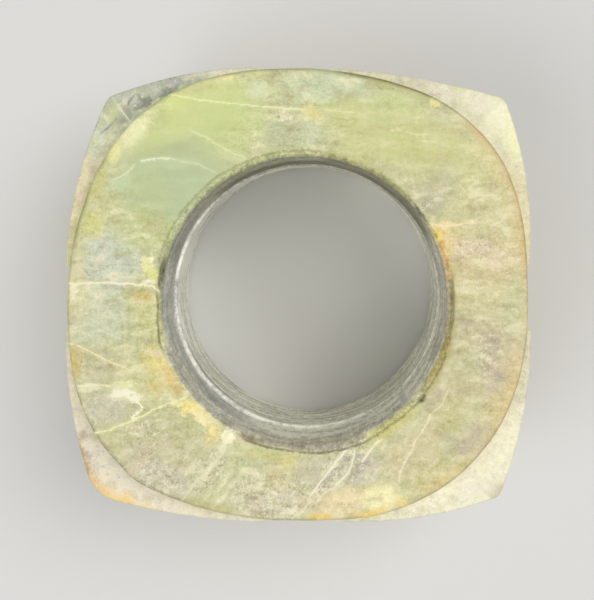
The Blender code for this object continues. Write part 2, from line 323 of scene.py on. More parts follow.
def between(low, high, value):
    """1 from low to high and 0 elsewhere, with worn edges."""
    rise = smooth(low - CARVING_WEAR, low + CARVING_WEAR, value)
    return rise * (1 - smooth(high - CARVING_WEAR, high + CARVING_WEAR, value))


def edged(low, high, value):
    """Most just inside either end of a carved span, and 0 beyond it and deeper in than the darkening
    reaches.
    """
    inner = np.minimum(value - low, high - value)
    return smooth(-CARVING_WEAR, CARVING_WEAR, inner) * (1 - smooth(0.0, DARKENING_REACH, inner))


def carving(columns, height):
    """How deep the carving is at each column at one height, and how much darker the stone is painted there.
    """
    deep = np.zeros(len(columns["flute"]))
    darkened = np.zeros(len(columns["flute"]))
    to_corner = columns["to_corner"]
    for number, foot in enumerate(TIER_FEET, start=1):
        field = between(foot, foot + FIELD_HEIGHT, height)
        nose = between(foot + NOSE_RISE, foot + NOSE_RISE + NOSE_HEIGHT, height)
        nose = nose * (1 - smooth(NOSE_LENGTH - CARVING_WEAR, NOSE_LENGTH + CARVING_WEAR, to_corner))
        from_eye = np.hypot(to_corner - EYE_FROM_CORNER, height - foot - EYE_RISE)
        eye = 1 - smooth(EYE_RADIUS - CARVING_WEAR, EYE_RADIUS + CARVING_WEAR, from_eye)
        ring = 1 - smooth(0.0, EYE_RING_WIDTH, np.abs(from_eye - EYE_RING_RADIUS))
        raised = np.maximum(nose, eye)
        deep += FACE_DEPTH * field * (1 - raised) + EYE_RING_DEPTH * ring
        beside_nose = smooth(0.0, 0.5, nose) * (1 - smooth(0.5, 1.0, nose))
        beside_eye = 1 - smooth(0.0, DARKENING_REACH, np.abs(from_eye - EYE_RADIUS))
        darkened += edged(foot, foot + FIELD_HEIGHT, height) * (1 - raised)
        darkened += (beside_nose + EYE_DARKENING * beside_eye * (1 - eye) + FIELD_DARKENING) * field + ring
        gap = foot + FIELD_HEIGHT + BAND_HEIGHT
        deep += FACE_DEPTH * between(gap, gap + BAND_GAP, height)
        darkened += between(gap, gap + BAND_GAP, height)
        if number < TIERS:
            deep += TIER_GROOVE_DEPTH * between(foot - TIER_GROOVE_HEIGHT, foot, height)
            darkened += edged(foot - TIER_GROOVE_HEIGHT, foot, height)
    return deep, np.clip(darkened, 0, 1)


def body_heights():
    """Heights of the rows down the body: pairs at every carved edge, and evenly spread between them."""
    low, high = BODY_FOOT + SHOULDER_EDGE_WEAR, BODY_TOP - SHOULDER_EDGE_WEAR
    keys = {low, high}
    for foot in TIER_FEET:
        gap = foot + FIELD_HEIGHT + BAND_HEIGHT
        nose = foot + NOSE_RISE
        groove = foot - TIER_GROOVE_HEIGHT
        for edge in (gap + BAND_GAP, gap, foot + FIELD_HEIGHT, nose + NOSE_HEIGHT, nose, foot, groove):
            pair = (edge + 0.9 * CARVING_WEAR, edge - 0.9 * CARVING_WEAR)
            keys.update(height for height in pair if low < height < high)
    keys = sorted(keys, reverse=True)
    heights = []
    for upper, lower in zip(keys, keys[1:]):
        steps = max(1, round((upper - lower) / BODY_ROW_SPACING))
        heights += [upper - (upper - lower) * step / steps for step in range(steps)]
    return heights + [low]


def rippled(length, angle, ripples):
    return sum((reach * np.sin(number * angle + start) for reach, number, start in ripples), length)


def mouth_shape(angle):
    """The mouth's worn edge round the bore: how wide and how deep the wear is, from the true hole."""
    width = rippled(MOUTH_WEAR_WIDTH + sway(angle, MOUTH_SWAYS), angle, MOUTH_RIPPLES)
    depth = MOUTH_WEAR_DEPTH * (1 + MOUTH_DEEPER * np.cos(angle - math.radians(MOUTH_DEEPEST_DEGREES)))
    return width, depth


def ringing(angle, height, deep, pace, uneven, start):
    """How far the wall of a hole stands out where the drill left rings."""
    return deep * np.sin(height * pace + uneven * np.sin(angle + start))


class Rows:
    """The closed loops of the mesh, one below the other, with marks that the stone's colours need.

    rim and mouth are distances in from the collar's rim and out from the mouth, and the others are shares.
    """

    def __init__(self, count):
        self.count = count
        self.points = []
        self.plain = {"rim": -FAR, "mouth": FAR, "shoulder": 0.0, "bore": 0.0, "side": 0.0, "cavity": 0.0}
        self.marks = {key: [] for key in self.plain}

    def add(self, plan, height, **marks):
        self.points.append(np.column_stack((plan, np.full(self.count, height))))
        for key, value in {**self.plain, **marks}.items():
            self.marks[key].append(np.full(self.count, value, dtype=float))


def ring(columns, reach, centre=BORE_CENTRE):
    """The columns' places in plan this far out from a hole's middle."""
    return centre + columns["ray"] * np.broadcast_to(reach, len(columns["ray"]))[:, None]


def rounding(degrees, width, depth):
    """How far in and how far down a rounded edge has come, where it faces this many degrees from upright."""
    turn = math.radians(degrees)
    return width * (1 - math.sin(turn)), depth * (1 - math.cos(turn))


def top_face(rows, columns, mouth_out):
    """Rings from the mouth's edge out to the collar's rounded edge."""
    span = columns["collar"] - COLLAR_EDGE_WEAR - mouth_out
    even = np.linspace(0, 1, FACE_ROWS + 1)[1:]
    closer = 0.5 - 0.5 * np.cos(even * math.pi)
    for share in FACE_EVENNESS * even + (1 - FACE_EVENNESS) * closer:
        rows.add(ring(columns, mouth_out + span * share), HEIGHT, rim=span * (1 - share), mouth=span * share)


def collar_down(rows, columns):
    """The collar's rounded edge and its wall, down to the shoulder."""
    collar = columns["collar"]
    for degrees in (25, 50, 75, 90):
        inset, drop = rounding(degrees, COLLAR_EDGE_WEAR, COLLAR_EDGE_WEAR)
        weathered = COLLAR_EDGE_WEATHERED * smooth(75, 90, degrees)
        past = inset - COLLAR_EDGE_WEAR
        rows.add(ring(columns, collar - inset), HEIGHT - drop, rim=past, shoulder=weathered)
    for drop, weathered in COLLAR_WALL_ROWS:
        rows.add(ring(columns, collar), HEIGHT - drop, rim=COLLAR_WALL_RIM, shoulder=weathered)
    rows.add(ring(columns, collar), BODY_TOP + COLLAR_FOOT_GAP, rim=COLLAR_WALL_RIM, shoulder=1.0)


def shoulder(rows, columns, upper):
    """The flat shoulder: out from the collar's foot to the body's edge on top, and back in below."""
    collar, body = ring(columns, columns["collar"]), body_point(columns, 0.0)
    gap = np.linalg.norm(body - collar, axis=1)
    inner = np.minimum(COLLAR_FILLET_REACH / gap, FILLET_SHARE)
    outer = 1 - np.minimum(SHOULDER_EDGE_WEAR / gap, EDGE_SHARE)
    steps = [(FILLET_ROW, COLLAR_FILLET_RISE), (inner, 0.0)]
    steps += [(blend(inner, outer, share), 0.0) for share in SHOULDER_ROWS]
    for share, lift in steps if upper else reversed(steps):
        height = BODY_TOP + lift if upper else BODY_FOOT - lift
        rows.add(blend(collar, body, share), height, rim=COLLAR_WALL_RIM - gap * share, shoulder=1.0)


def body_point(columns, deep):
    """Where the body's surface is in plan when the carving is this deep."""
    standing = columns["place"] - columns["facing"] * np.asarray(deep)[..., None]
    return blend(standing, columns["floor"], columns["flute"])


def body_down(rows, columns):
    """The body's worn upper edge, its carved sides and its worn lower edge."""
    gap = np.linalg.norm(body_point(columns, 0.0) - ring(columns, columns["collar"]), axis=1)
    worn = np.minimum(SHOULDER_EDGE_WEAR, gap * EDGE_SHARE)
    for degrees in (30, 60):
        inset, drop = rounding(degrees, worn, SHOULDER_EDGE_WEAR)
        rows.add(body_point(columns, inset), BODY_TOP - drop, rim=-gap, shoulder=0.8, side=0.2)
    for height in body_heights():
        deep, darkened = carving(columns, height)
        rows.add(body_point(columns, deep), height, side=1.0, cavity=darkened * (1 - columns["flute"]))
    for degrees in (60, 30):
        inset, rise = rounding(degrees, worn, SHOULDER_EDGE_WEAR)
        rows.add(body_point(columns, inset), BODY_FOOT + rise, side=1.0)


def underside(rows, columns):
    """The lower collar's wall and edge, and its face in to the lower hole's worn mouth."""
    collar = columns["collar"]
    for height in (BODY_FOOT - COLLAR_FOOT_GAP, UNDER_COLLAR_ROW, COLLAR_EDGE_WEAR):
        rows.add(ring(columns, collar), height, side=1.0)
    for degrees in (60, 30, 0):
        inset, rise = rounding(degrees, COLLAR_EDGE_WEAR, COLLAR_EDGE_WEAR)
        rows.add(ring(columns, collar - inset), rise, side=1.0)
    outer = ring(columns, collar - COLLAR_EDGE_WEAR)
    inner = ring(columns, FOOT_RADIUS + MOUTH_WEAR_WIDTH, LOWER_CENTRE)
    for share in UNDERSIDE_ROWS:
        rows.add(blend(outer, inner, share), 0.0, side=1.0)


def lower_bore(rows, columns):
    """Up the lower hole from its worn mouth to the ridge, with low rings that the drill left."""
    for degrees in (30, 60, 90):
        inset, rise = rounding(degrees, MOUTH_WEAR_WIDTH, MOUTH_WEAR_DEPTH)
        rows.add(ring(columns, FOOT_RADIUS + inset, LOWER_CENTRE), rise, **IN_BORE)
    for share in np.linspace(0, 1, LOWER_BORE_ROWS + 1)[1:]:
        height = MOUTH_WEAR_DEPTH + (RIDGE - LEDGE_GAP_BELOW - MOUTH_WEAR_DEPTH) * share
        reach = FOOT_RADIUS - LOWER_BORE_FLARE * share + ringing(columns["angle"], height, *LOWER_RINGS)
        rows.add(ring(columns, reach, LOWER_CENTRE), height, **IN_BORE)


def ridge_ledge(rows, columns):
    """The narrow ledge where the two holes meet."""
    inner = ring(columns, LOWER_BORE_RADIUS + LEDGE_LIP, LOWER_CENTRE)
    outer = ring(columns, UPPER_BORE_RADIUS)
    waves = rippled(0.0, columns["angle"], RIDGE_RIPPLES)
    for share, rise in LEDGE_ROWS:
        rows.add(blend(inner, outer, share), RIDGE + rise + waves, **IN_BORE)


def upper_bore(rows, columns, mouth_width, mouth_depth):
    """Up the upper hole's wall and out over its worn mouth."""
    low = RIDGE + LEDGE_GAP_ABOVE
    high = HEIGHT - mouth_depth
    for share in np.linspace(0, 1, UPPER_BORE_ROWS):
        height = low + (high - low) * share
        reach = UPPER_BORE_RADIUS + ringing(columns["angle"], height, *UPPER_RINGS) * (1 - share)
        rows.add(ring(columns, reach), height, mouth=-(mouth_width + HEIGHT - height), rim=FAR, bore=1.0)
    for degrees in (75, 60, 45, 30, 15, 0):
        inset, drop = rounding(degrees, mouth_width, mouth_depth)
        down = mouth_width - inset + drop
        bore = smooth(30, 75, degrees)
        rows.add(ring(columns, UPPER_BORE_RADIUS + inset), HEIGHT - drop, mouth=-down, rim=FAR, bore=bore)


CHIP_FLAT = 0.25  # the share of its reach within which a chip is pushed in fully

# Chips and notches: where, how far each reaches along X, Y and Z, and how far the stone is pushed in
Chip = collections.namedtuple("Chip", "place reach push")
CHIPS = table(Chip,
    ((-35, 37.5, 45), (1.5, 1.1, 2.5), (0.6, -0.9, -0.3)),  # notch at the upper left corner
    ((-38.1, 32, 45), (1.3, 2.4, 3), (0.45, -0.05, -0.1)),  # kink below it
    ((-40.4, 25.6, 45), (0.9, 1.2, 2), (0.35, 0, -0.1)),
    ((-19, 41.9, 45), (1.2, 0.8, 2), (0, -0.35, -0.1)),
    ((-15.2, 42.5, 45), (1, 0.8, 2), (0, -0.3, -0.1)),
    ((-27.6, -40.5, 45), (1.1, 0.9, 2.5), (0, 0.35, -0.1)),
    ((32.2, -40.2, 45), (1.1, 0.9, 2.5), (0, 0.3, -0.1)),
    ((23.6, -41.7, 45), (0.9, 0.8, 2.5), (0, 0.3, -0.1)),
    ((-12.2, -26.4, 50), (1.8, 1.2, 2.5), (-0.2, -0.4, -0.4)),  # flake off the mouth at the lower left
    ((23.6, -19.2, 49.8), (1, 0.9, 1.6), (0.25, -0.2, -0.6)),  # notch in the mouth at the lower right
    ((25.4, 14.5, 49.8), (1.1, 1.1, 1.8), (0.35, 0.3, -0.35)),
)


def chip_away(points):
    """Pushes the stone in at each chip, fading to nothing at the chip's reach."""
    for chip in CHIPS:
        off = np.linalg.norm((points - chip.place) / np.array(chip.reach), axis=-1)
        points = points + (1 - smooth(CHIP_FLAT, 1.0, off))[..., None] * np.array(chip.push)
    return points


def grid_normals(points):
    """Unit normals of the closed grid, pointing out of the stone."""
    round_step = np.roll(points, -1, axis=1) - np.roll(points, 1, axis=1)
    down_step = np.roll(points, -1, axis=0) - np.roll(points, 1, axis=0)
    normal = np.cross(down_step, round_step)
    return normal / np.maximum(np.linalg.norm(normal, axis=-1), FAINT)[..., None]


def drifting(places, size, offset):
    """A noise from about -1 to 1, with swells this wide, at each place."""
    return np.array([noise.noise(Vector(p / size) + Vector(offset)) for p in places])


def unevenness(points, weathered):
    """How far each point stands out of the true form: swells all over, and pits where stone weathered."""
    flat = points.reshape(-1, 3)
    swell = UNEVEN_DEPTH * drifting(flat, UNEVEN_SIZE, (0.0, 0.0, 0.0))
    pits = PITTED_DEPTH * drifting(flat, PITTED_SIZE, (7.0, 3.0, 5.0)) * weathered.reshape(-1)
    off_floor = smooth(0.0, EVENED_HEIGHT, flat[:, 2])
    return ((swell + pits) * off_floor).reshape(points.shape[:2])


def cong_rows():
    """All the loops, from the mouth's edge over the collar, down, under and up through the bore."""
    columns = plan_columns()
    rows = Rows(len(columns["flute"]))
    mouth_width, mouth_depth = mouth_shape(columns["angle"])
    top_face(rows, columns, UPPER_BORE_RADIUS + mouth_width)
    collar_down(rows, columns)
    shoulder(rows, columns, upper=True)
    body_down(rows, columns)
    shoulder(rows, columns, upper=False)
    underside(rows, columns)
    lower_bore(rows, columns)
    ridge_ledge(rows, columns)
    upper_bore(rows, columns, mouth_width, mouth_depth)
    return rows


def cong_mesh():
    """The carved cong as one closed grid of faces with its marks and colours as attributes."""
    rows = cong_rows()
    points = np.array(rows.points)
    marks = {name: np.array(values) for name, values in rows.marks.items()}
    weathered = np.clip(marks["shoulder"] + marks["side"], 0, 1)
    points = points + grid_normals(points) * unevenness(points, weathered)[..., None]
    points = chip_away(points)
    colours = paint(points, marks)
    high, wide = points.shape[:2]
    index = np.arange(high * wide).reshape(high, wide)
    right = np.roll(index, -1, axis=1)
    down = np.roll(index, -1, axis=0)
    faces = np.stack((index, down, np.roll(right, -1, axis=0), right), axis=-1).reshape(-1, 4)
    mesh = bpy.data.meshes.new("cong_carved")
    mesh.from_pydata((points.reshape(-1, 3) * MM).tolist(), [], faces.tolist())
    kept = {name: marks[name] for name in ("mouth", "shoulder", "bore", "side", "cavity")}
    for name, values in {**kept, **colours}.items():
        coloured = values.ndim == 2 and values.shape[1] == 4
        attribute = mesh.attributes.new(name, "FLOAT_COLOR" if coloured else "FLOAT", "POINT")
        attribute.data.foreach_set("color" if coloured else "value", values.astype(np.float32).ravel())
    mesh.shade_smooth()
    mesh.update()
    return mesh


def add_cong(material):
    mesh = cong_mesh()
    mesh.materials.append(material)
    piece = bpy.data.objects.new("cong_carved", mesh)
    bpy.context.scene.collection.objects.link(piece)
    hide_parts("jade_cong")
    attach(piece, "root")
    return piece


# An oval in plan: middle, half length and half width, turn in degrees and strength. A stain also has its
# colour, and how soft its edge is.
Oval = collections.namedtuple("Oval", "x y long short turn amount")
Stain = collections.namedtuple("Stain", "x y long short turn colour amount edge", defaults=(0.9,))

# Broad colours of the top face
FACE_BASE = (206, 208, 158)
FACE_TINTS = table(Stain,
    (-20, 35, 14, 7, 20, (214, 222, 148), 0.9),  # yellow-green over the upper left
    (-13, 31.5, 6, 5, 0, (206, 218, 146), 0.8),
    (-24, 21, 10, 8, 0, (190, 204, 158), 0.95),  # celadon between them and the bore
    (-30, 17, 6, 6, 0, (194, 205, 150), 0.6),
    (-28, 12.5, 5, 3, 0, (200, 206, 140), 0.7),
    (-25, 27.6, 6, 1.6, 0, (188, 196, 146), 0.7),
    (-28, 31, 5, 3, 40, (206, 216, 152), 0.6),
    (-38, 14, 5, 6, -8, (210, 210, 156), 0.7),
    (-35, 6.5, 6, 5, 0, (208, 218, 198), 0.9),  # grey and pale at the left
    (-37, -4, 6, 6, 0, (205, 211, 178), 0.9),
    (-42.3, 2, 1.6, 6, 0, (228, 222, 170), 0.8),
    (-28, -5, 2.6, 7, 0, (206, 206, 138), 0.9),
    (-31, -9, 5, 3, 0, (205, 208, 154), 0.8),
    (-25.4, -13.6, 5, 2.8, -52, (228, 212, 134), 0.9),  # amber beside the mouth
    (-19, -22.4, 3.6, 1.6, -44, (250, 234, 158), 0.9),
    (-37, -13.5, 5, 3, -15, (199, 195, 152), 0.9),
    (-29, -17, 5, 4, 0, (211, 211, 150), 0.8),
    (-36, -21.5, 4.5, 2.8, 4, (215, 212, 182), 0.9),
    (-34, -27, 3, 4, 40, (198, 197, 142), 0.7),
    (-27, -25, 7, 4, -10, (196, 195, 142), 0.8),
    (-22, -30, 5, 4, -40, (203, 198, 156), 0.8),
    (-30, -31, 4, 3, -45, (203, 190, 164), 0.6),
    (-25, -35, 6, 3, -28, (209, 201, 176), 0.9),
    (-15, -34, 5, 6, -35, (217, 217, 171), 0.8),
    (-9, -36, 6, 5, -30, (210, 213, 165), 0.8),
    (-3, -34, 4, 4, 0, (215, 208, 152), 0.8),
    (-4, -39, 8, 2.6, 0, (221, 214, 184), 0.9),
    (4, -33, 5, 3, 0, (206, 200, 170), 0.8),
    (12, -32, 4, 3, 0, (207, 201, 180), 0.9),
    (8, -38.6, 8, 3, 8, (238, 222, 172), 0.9),  # yellow and cream at the bottom
    (15.5, -38.6, 4, 2.2, 10, (255, 248, 192), 0.95),
    (22, -30, 7, 5, 50, (219, 208, 162), 0.8),
    (25.5, -34.5, 5, 2.2, 38, (207, 199, 134), 0.7),
    (34, -27, 4, 3, 45, (203, 190, 160), 0.7),
    (29, -22, 6, 4, 50, (206, 200, 146), 0.8),
    (31, -17, 6, 4, 0, (207, 198, 154), 0.8),
    (38, -14, 4, 9, 10, (215, 200, 162), 0.8),
    (33, -7, 5, 6, 0, (201, 191, 149), 0.8),
    (34, 1, 7, 4, 0, (213, 205, 152), 0.8),
    (35, 8, 8, 5, 0, (218, 202, 149), 0.9),  # pinkish cream at the right
    (31, 10, 4, 3, 0, (224, 206, 150), 0.7),
    (34, 18, 7, 7, 0, (214, 208, 152), 0.8),
    (30, 26, 6, 6, 0, (212, 210, 148), 0.7),
    (24, 28, 8, 6, -35, (207, 207, 138), 0.8),
    (25.5, 19, 4.5, 3.5, 40, (196, 194, 150), 0.9),
    (15, 29, 9, 4, -15, (208, 211, 140), 0.7),
    (18, 36, 6, 3, 0, (206, 216, 144), 0.7),
    (8, 34, 8, 3, -8, (209, 212, 143), 0.8),
    (17.5, 40.3, 4, 1.3, -15, (188, 191, 128), 0.8),
    (4, 39, 8, 3.4, -3, (206, 219, 180), 0.8),
    (-4, 38.5, 5, 3, 0, (206, 213, 160), 0.7),
    (0, 31, 5, 3.5, 0, (196, 203, 158), 0.8),
)

# Smaller patches of the top face
FACE_PATCHES = table(Stain,
    (-30.6, 31.6, 3.8, 1.8, 50, (244, 244, 190), 0.95, 1.3),  # bright rim at the upper left
    (-33.6, 29.8, 1.3, 1.1, 30, (240, 224, 176), 0.8),
    (-34.6, 27.2, 1.3, 2.6, -20, (242, 238, 166), 0.8, 1.1),
    (-37.4, 21.5, 1.6, 3.6, -15, (208, 206, 136), 0.7),
    (-38.6, 13.6, 2, 2.2, 0, (222, 220, 140), 0.7),
    (-22.5, 36.8, 3, 1.4, 20, (222, 230, 142), 0.6),
    (-33, 21.6, 2.6, 1, 40, (204, 220, 172), 0.7),  # pale wisp over the celadon
    (-24, 25, 4.6, 0.9, 4, (202, 216, 168), 0.6),
    (-7.6, 38.6, 2.4, 1.5, 0, (222, 228, 184), 0.7),
    (-3, 34.6, 2.8, 1, -10, (204, 206, 148), 0.6),
    (3, 34.6, 2.2, 1.5, -20, (232, 222, 152), 0.8),
    (2.6, 31.2, 1.2, 2.6, -30, (216, 220, 182), 0.6),
    (-3.6, 30.6, 2.6, 2.2, 0, (192, 198, 154), 0.6),
    (-28, 5.9, 1.3, 1.9, 14, (238, 238, 170), 1, 0.5),  # yellow-white patch at the left of the mouth
    (-27.2, 7.2, 0.8, 0.7, 0, (248, 247, 192), 1, 0.8),
    (-27.3, 3.8, 1, 1.5, 0, (232, 230, 146), 0.9, 0.5),
    (-28.4, 2.7, 1.4, 0.5, 0, (250, 248, 222), 0.9, 0.5),
    (-29.4, -0.2, 1.9, 0.8, -12, (218, 188, 112), 0.8),
    (-42.4, 1.2, 1, 2, 0, (250, 244, 206), 0.8),
    (-42.3, -12.8, 1.1, 3.6, 5, (206, 188, 112), 0.9, 0.8),  # ochre wedge at the left edge
    (-40.9, -11.4, 1.2, 1.4, 30, (206, 192, 124), 0.6),
    (-39.6, -17.4, 2.4, 0.7, 12, (240, 236, 192), 0.9, 0.6),
    (-32.6, -17, 2.4, 0.9, -6, (232, 234, 172), 0.9, 0.7),
    (-33.2, -18.3, 2, 0.8, -6, (254, 250, 220), 1, 0.4),
    (-30.6, -19, 0.9, 0.6, -24, (250, 246, 210), 0.9, 0.4),
    (-36.4, -21.6, 4.2, 2.4, 4, (202, 200, 168), 0.7, 0.4),
    (-26.6, -12.8, 1.8, 1.4, -40, (238, 224, 144), 0.7, 1.3),
    (-23.9, -15.2, 0.8, 2.4, 33, (232, 200, 130), 0.7, 1.3),
    (-22.3, -17.8, 0.7, 1.3, 33, (208, 178, 108), 0.7, 1.2),
    (-27.2, -10.6, 2, 0.5, -10, (244, 226, 184), 0.7),
    (-26.6, -17, 1.8, 1.5, 0, (226, 204, 134), 0.5),
    (-20.6, -20.7, 1.5, 1.3, -45, (255, 236, 148), 0.85, 1.3),
    (-22.8, -20.4, 1.4, 0.8, 20, (246, 238, 176), 0.9),
    (-18.4, -22.8, 2.2, 0.8, -42, (252, 240, 182), 0.9),
    (-15.8, -25.6, 1.4, 1.8, -8, (252, 230, 148), 0.85, 1.3),
    (-16.4, -27.8, 1.3, 0.7, 0, (234, 212, 142), 0.7, 1.3),
    (-12.8, -26.8, 1.7, 1.1, -40, (252, 248, 206), 1, 0.4),
    (-14, -28.6, 0.7, 1.4, -35, (242, 240, 196), 0.9, 0.5),
    (-31.4, -33.2, 1.6, 0.8, -35, (214, 186, 156), 0.7),
    (-6, -30, 4.4, 1, -6, (204, 200, 122), 0.6),
    (-1.8, -31.2, 1.4, 2.2, 0, (224, 216, 136), 0.5, 1.3),
    (-4, -34.6, 1, 2.4, 10, (222, 196, 146), 0.5),
    (4, -41.7, 2.6, 0.8, 0, (240, 206, 110), 0.9),  # orange spots along the bottom rim
    (13.6, -41, 1.6, 0.8, 5, (244, 212, 116), 0.9),
    (19.6, -38.6, 1.6, 0.9, 20, (242, 220, 142), 0.8),
    (8.6, -38, 2.6, 1.4, 20, (246, 228, 178), 0.8),
    (14.4, -36.8, 1.6, 1, 10, (250, 244, 184), 0.8),
    (11.8, -30.4, 0.8, 0.6, 20, (180, 172, 162), 0.8, 1.3),  # grey crumbs between the veins below the mouth
    (13.2, -31.4, 0.6, 0.8, 30, (178, 170, 162), 0.7, 1.3),
    (12.2, -33, 0.9, 0.5, 60, (182, 174, 166), 0.7, 1.3),
    (9.4, -31.6, 0.7, 0.5, 40, (172, 164, 152), 0.7, 1.3),
    (10.6, -34.6, 0.9, 0.5, 50, (188, 180, 164), 0.7, 1.3),
    (6.2, -34, 3, 0.8, 50, (174, 168, 148), 0.8, 1.2),
    (9, -30.4, 0.9, 0.6, 50, (176, 170, 152), 0.8, 1.2),
    (-0.6, -37, 2.6, 0.5, 5, (192, 186, 160), 0.6),
    (24.9, -20.8, 1.2, 1.8, -20, (186, 172, 144), 0.5, 1.2),
    (26.4, -18.6, 1.6, 1, 30, (190, 176, 150), 0.7, 1.3),
    (27.8, -26.2, 2.6, 0.7, -24, (188, 174, 146), 0.6, 1.3),
    (36.6, -8.4, 1, 0.7, 0, (176, 160, 140), 0.8, 1.3),  # purplish grey crumbs at the right
    (37, -10.2, 1.4, 0.8, 20, (182, 164, 144), 0.8, 1.3),
    (34.8, -12.8, 0.7, 1.3, 20, (184, 170, 142), 0.7, 1.3),
    (37.6, -15.6, 1.5, 1.1, 60, (180, 166, 146), 0.8, 1.3),
    (31.4, -4.8, 1.5, 0.8, -15, (182, 166, 140), 0.7, 1.3),
    (23.5, -19.2, 1.15, 0.34, 52, (74, 58, 18), 0.85, 1.2),  # dirt in the notch at the lower right
    (32.6, -27, 3.4, 1, 45, (198, 184, 156), 0.6),
    (29, -23.6, 2.6, 2, 40, (204, 200, 142), 0.6),
    (37.2, -17, 1.2, 2.6, 20, (200, 188, 162), 0.6),
    (36.4, -10, 1.8, 1.2, 0, (196, 186, 156), 0.6),
    (33.2, -12.6, 2.2, 2.6, 0, (204, 204, 154), 0.6),
    (35.6, -2, 2.6, 2.6, 0, (216, 212, 162), 0.6),
    (25.2, 17.6, 2.6, 2.2, 40, (196, 193, 160), 0.45),  # grey patch by the mouth at the right
    (28, 13.4, 3, 0.6, 3, (246, 226, 176), 0.9),
    (26.8, 12.2, 1.6, 1, -60, (236, 208, 112), 0.95, 0.7),
    (27.9, 9.6, 1.6, 0.7, -68, (226, 184, 102), 0.9, 0.8),
    (33, 9, 3.4, 1.4, 0, (226, 204, 172), 0.7),
    (37.6, 7, 2.4, 2, 0, (230, 214, 178), 0.6),
    (28.8, 10.4, 0.9, 2.4, 18, (240, 214, 150), 0.7),
    # Painted shadow: the dark line where the notch in the mouth's edge falls away
    (23.6, 17, 1.3, 0.5, -48, (150, 140, 100), 0.8, 0.9),
    (25.6, 36.4, 1.6, 1, -28, (240, 232, 156), 0.8),
    (-13.4, 41.4, 1.6, 0.6, 8, (246, 230, 164), 0.9),
    (-18.6, 40.3, 3.2, 0.9, 14, (218, 214, 150), 0.8, 1.2),
)

# Bands of colour along the rim, the mouth or the bore, some of them painted light and shade: from and to
# across, from and to in degrees, and then what a stain has
Arc = collections.namedtuple("Arc", "low high start end colour amount edge", defaults=(0.8,))
ARC_TAPER = 10.0  # over how many degrees an arc's end fades out
BAND_SLOPE = 2.4  # how far across a band its field takes to rise from 0 to 1
RIM_ARCS = table(Arc,
    (-0.8, -0.35, 8, 56, (156, 126, 74), 0.8),
    (-0.6, 0.6, 4, 48, (218, 180, 118), 0.75, 1.2),
    (0.2, 2, 13, 24, (228, 204, 138), 0.5, 1.5),
    (0.2, 2.4, 28, 41, (226, 206, 140), 0.5, 1.5),
    (-0.8, 0.1, 56, 83, (126, 122, 64), 0.9),
    (0, 1.4, 59, 72, (182, 186, 118), 0.6),
    (-0.8, -0.2, 83, 142, (150, 156, 98), 0.6),
    (-0.8, 0.1, 144, 167, (154, 154, 84), 0.85),
    (-0.8, -0.2, 167, 192, (176, 172, 112), 0.6),
    (-0.8, 0, 200, 250, (150, 144, 94), 0.8),
    (-0.6, 1, 240, 252, (194, 184, 116), 0.5),
    (-0.8, -0.2, 250, 272, (170, 152, 104), 0.7),
    (-0.6, 0.8, 285, 291, (246, 212, 120), 0.9),
    (-0.8, -0.3, 277, 301, (190, 152, 92), 0.7),
    (-0.5, 1.2, 303, 316, (230, 202, 132), 0.6, 1.5),
    (-0.8, -0.3, 300, 353, (170, 130, 74), 0.85),
    (-0.5, 1.4, 324, 346, (230, 202, 134), 0.6, 1.5),
    (0.6, 3.4, 326, 338, (226, 208, 142), 0.5, 1.5),
    (-0.6, 0.8, 348, 368, (218, 194, 148), 0.5, 1.3),
)
MOUTH_BANDS_AND_PAINTED_SHADE = table(Arc,
    (-1.4, 0.1, -18, 9, (134, 116, 62), 0.8, 1.1),
    (-3.2, -1.4, -16, 9, (212, 186, 126), 0.75, 1.1),
    (-3, -0.1, 9, 22, (236, 182, 106), 0.8, 1.3),
    (-3.2, 0.5, 20, 31, (248, 226, 116), 0.9, 1),
    # Painted shade where the wall turns down away from the light
    (-5, -0.6, 31, 43, (98, 93, 48), 0.9, 1.4),
    (-2.4, -0.2, 42, 86, (174, 172, 104), 0.8, 1.3),
    # Painted shade where the wall turns down away from the light
    (-5.5, -2, 38, 86, (98, 92, 50), 0.9, 1.5),
    (-1.6, -0.2, 84, 130, (190, 198, 132), 0.7, 1.4),
    # Painted shade where the wall turns down away from the light
    (-5, -1.4, 84, 132, (142, 148, 100), 0.8, 1.6),
    (-2.2, -0.2, 130, 164, (178, 188, 128), 0.6, 1.4),
    # Painted shade where the wall turns down away from the light
    (-6, -2, 132, 166, (128, 134, 104), 0.7, 1.6),
    (-3.4, -0.5, 160, 176, (96, 102, 62), 0.85),
    (-1.4, 0.1, 176, 197, (206, 206, 130), 0.8),
    (-4, -0.6, 198, 243, (188, 187, 172), 0.95),
    (-1.6, -0.2, 244, 252, (140, 114, 92), 0.8),
    (-4, -0.4, 252, 295, (184, 178, 156), 0.9),
    (-2, 1.2, 295, 315, (212, 204, 120), 0.75, 1.4),
    (-2.6, 0.5, 324, 350, (176, 162, 82), 0.85, 1.3),
    (-4.4, -2.8, 335, 360, (186, 166, 156), 0.7),
)

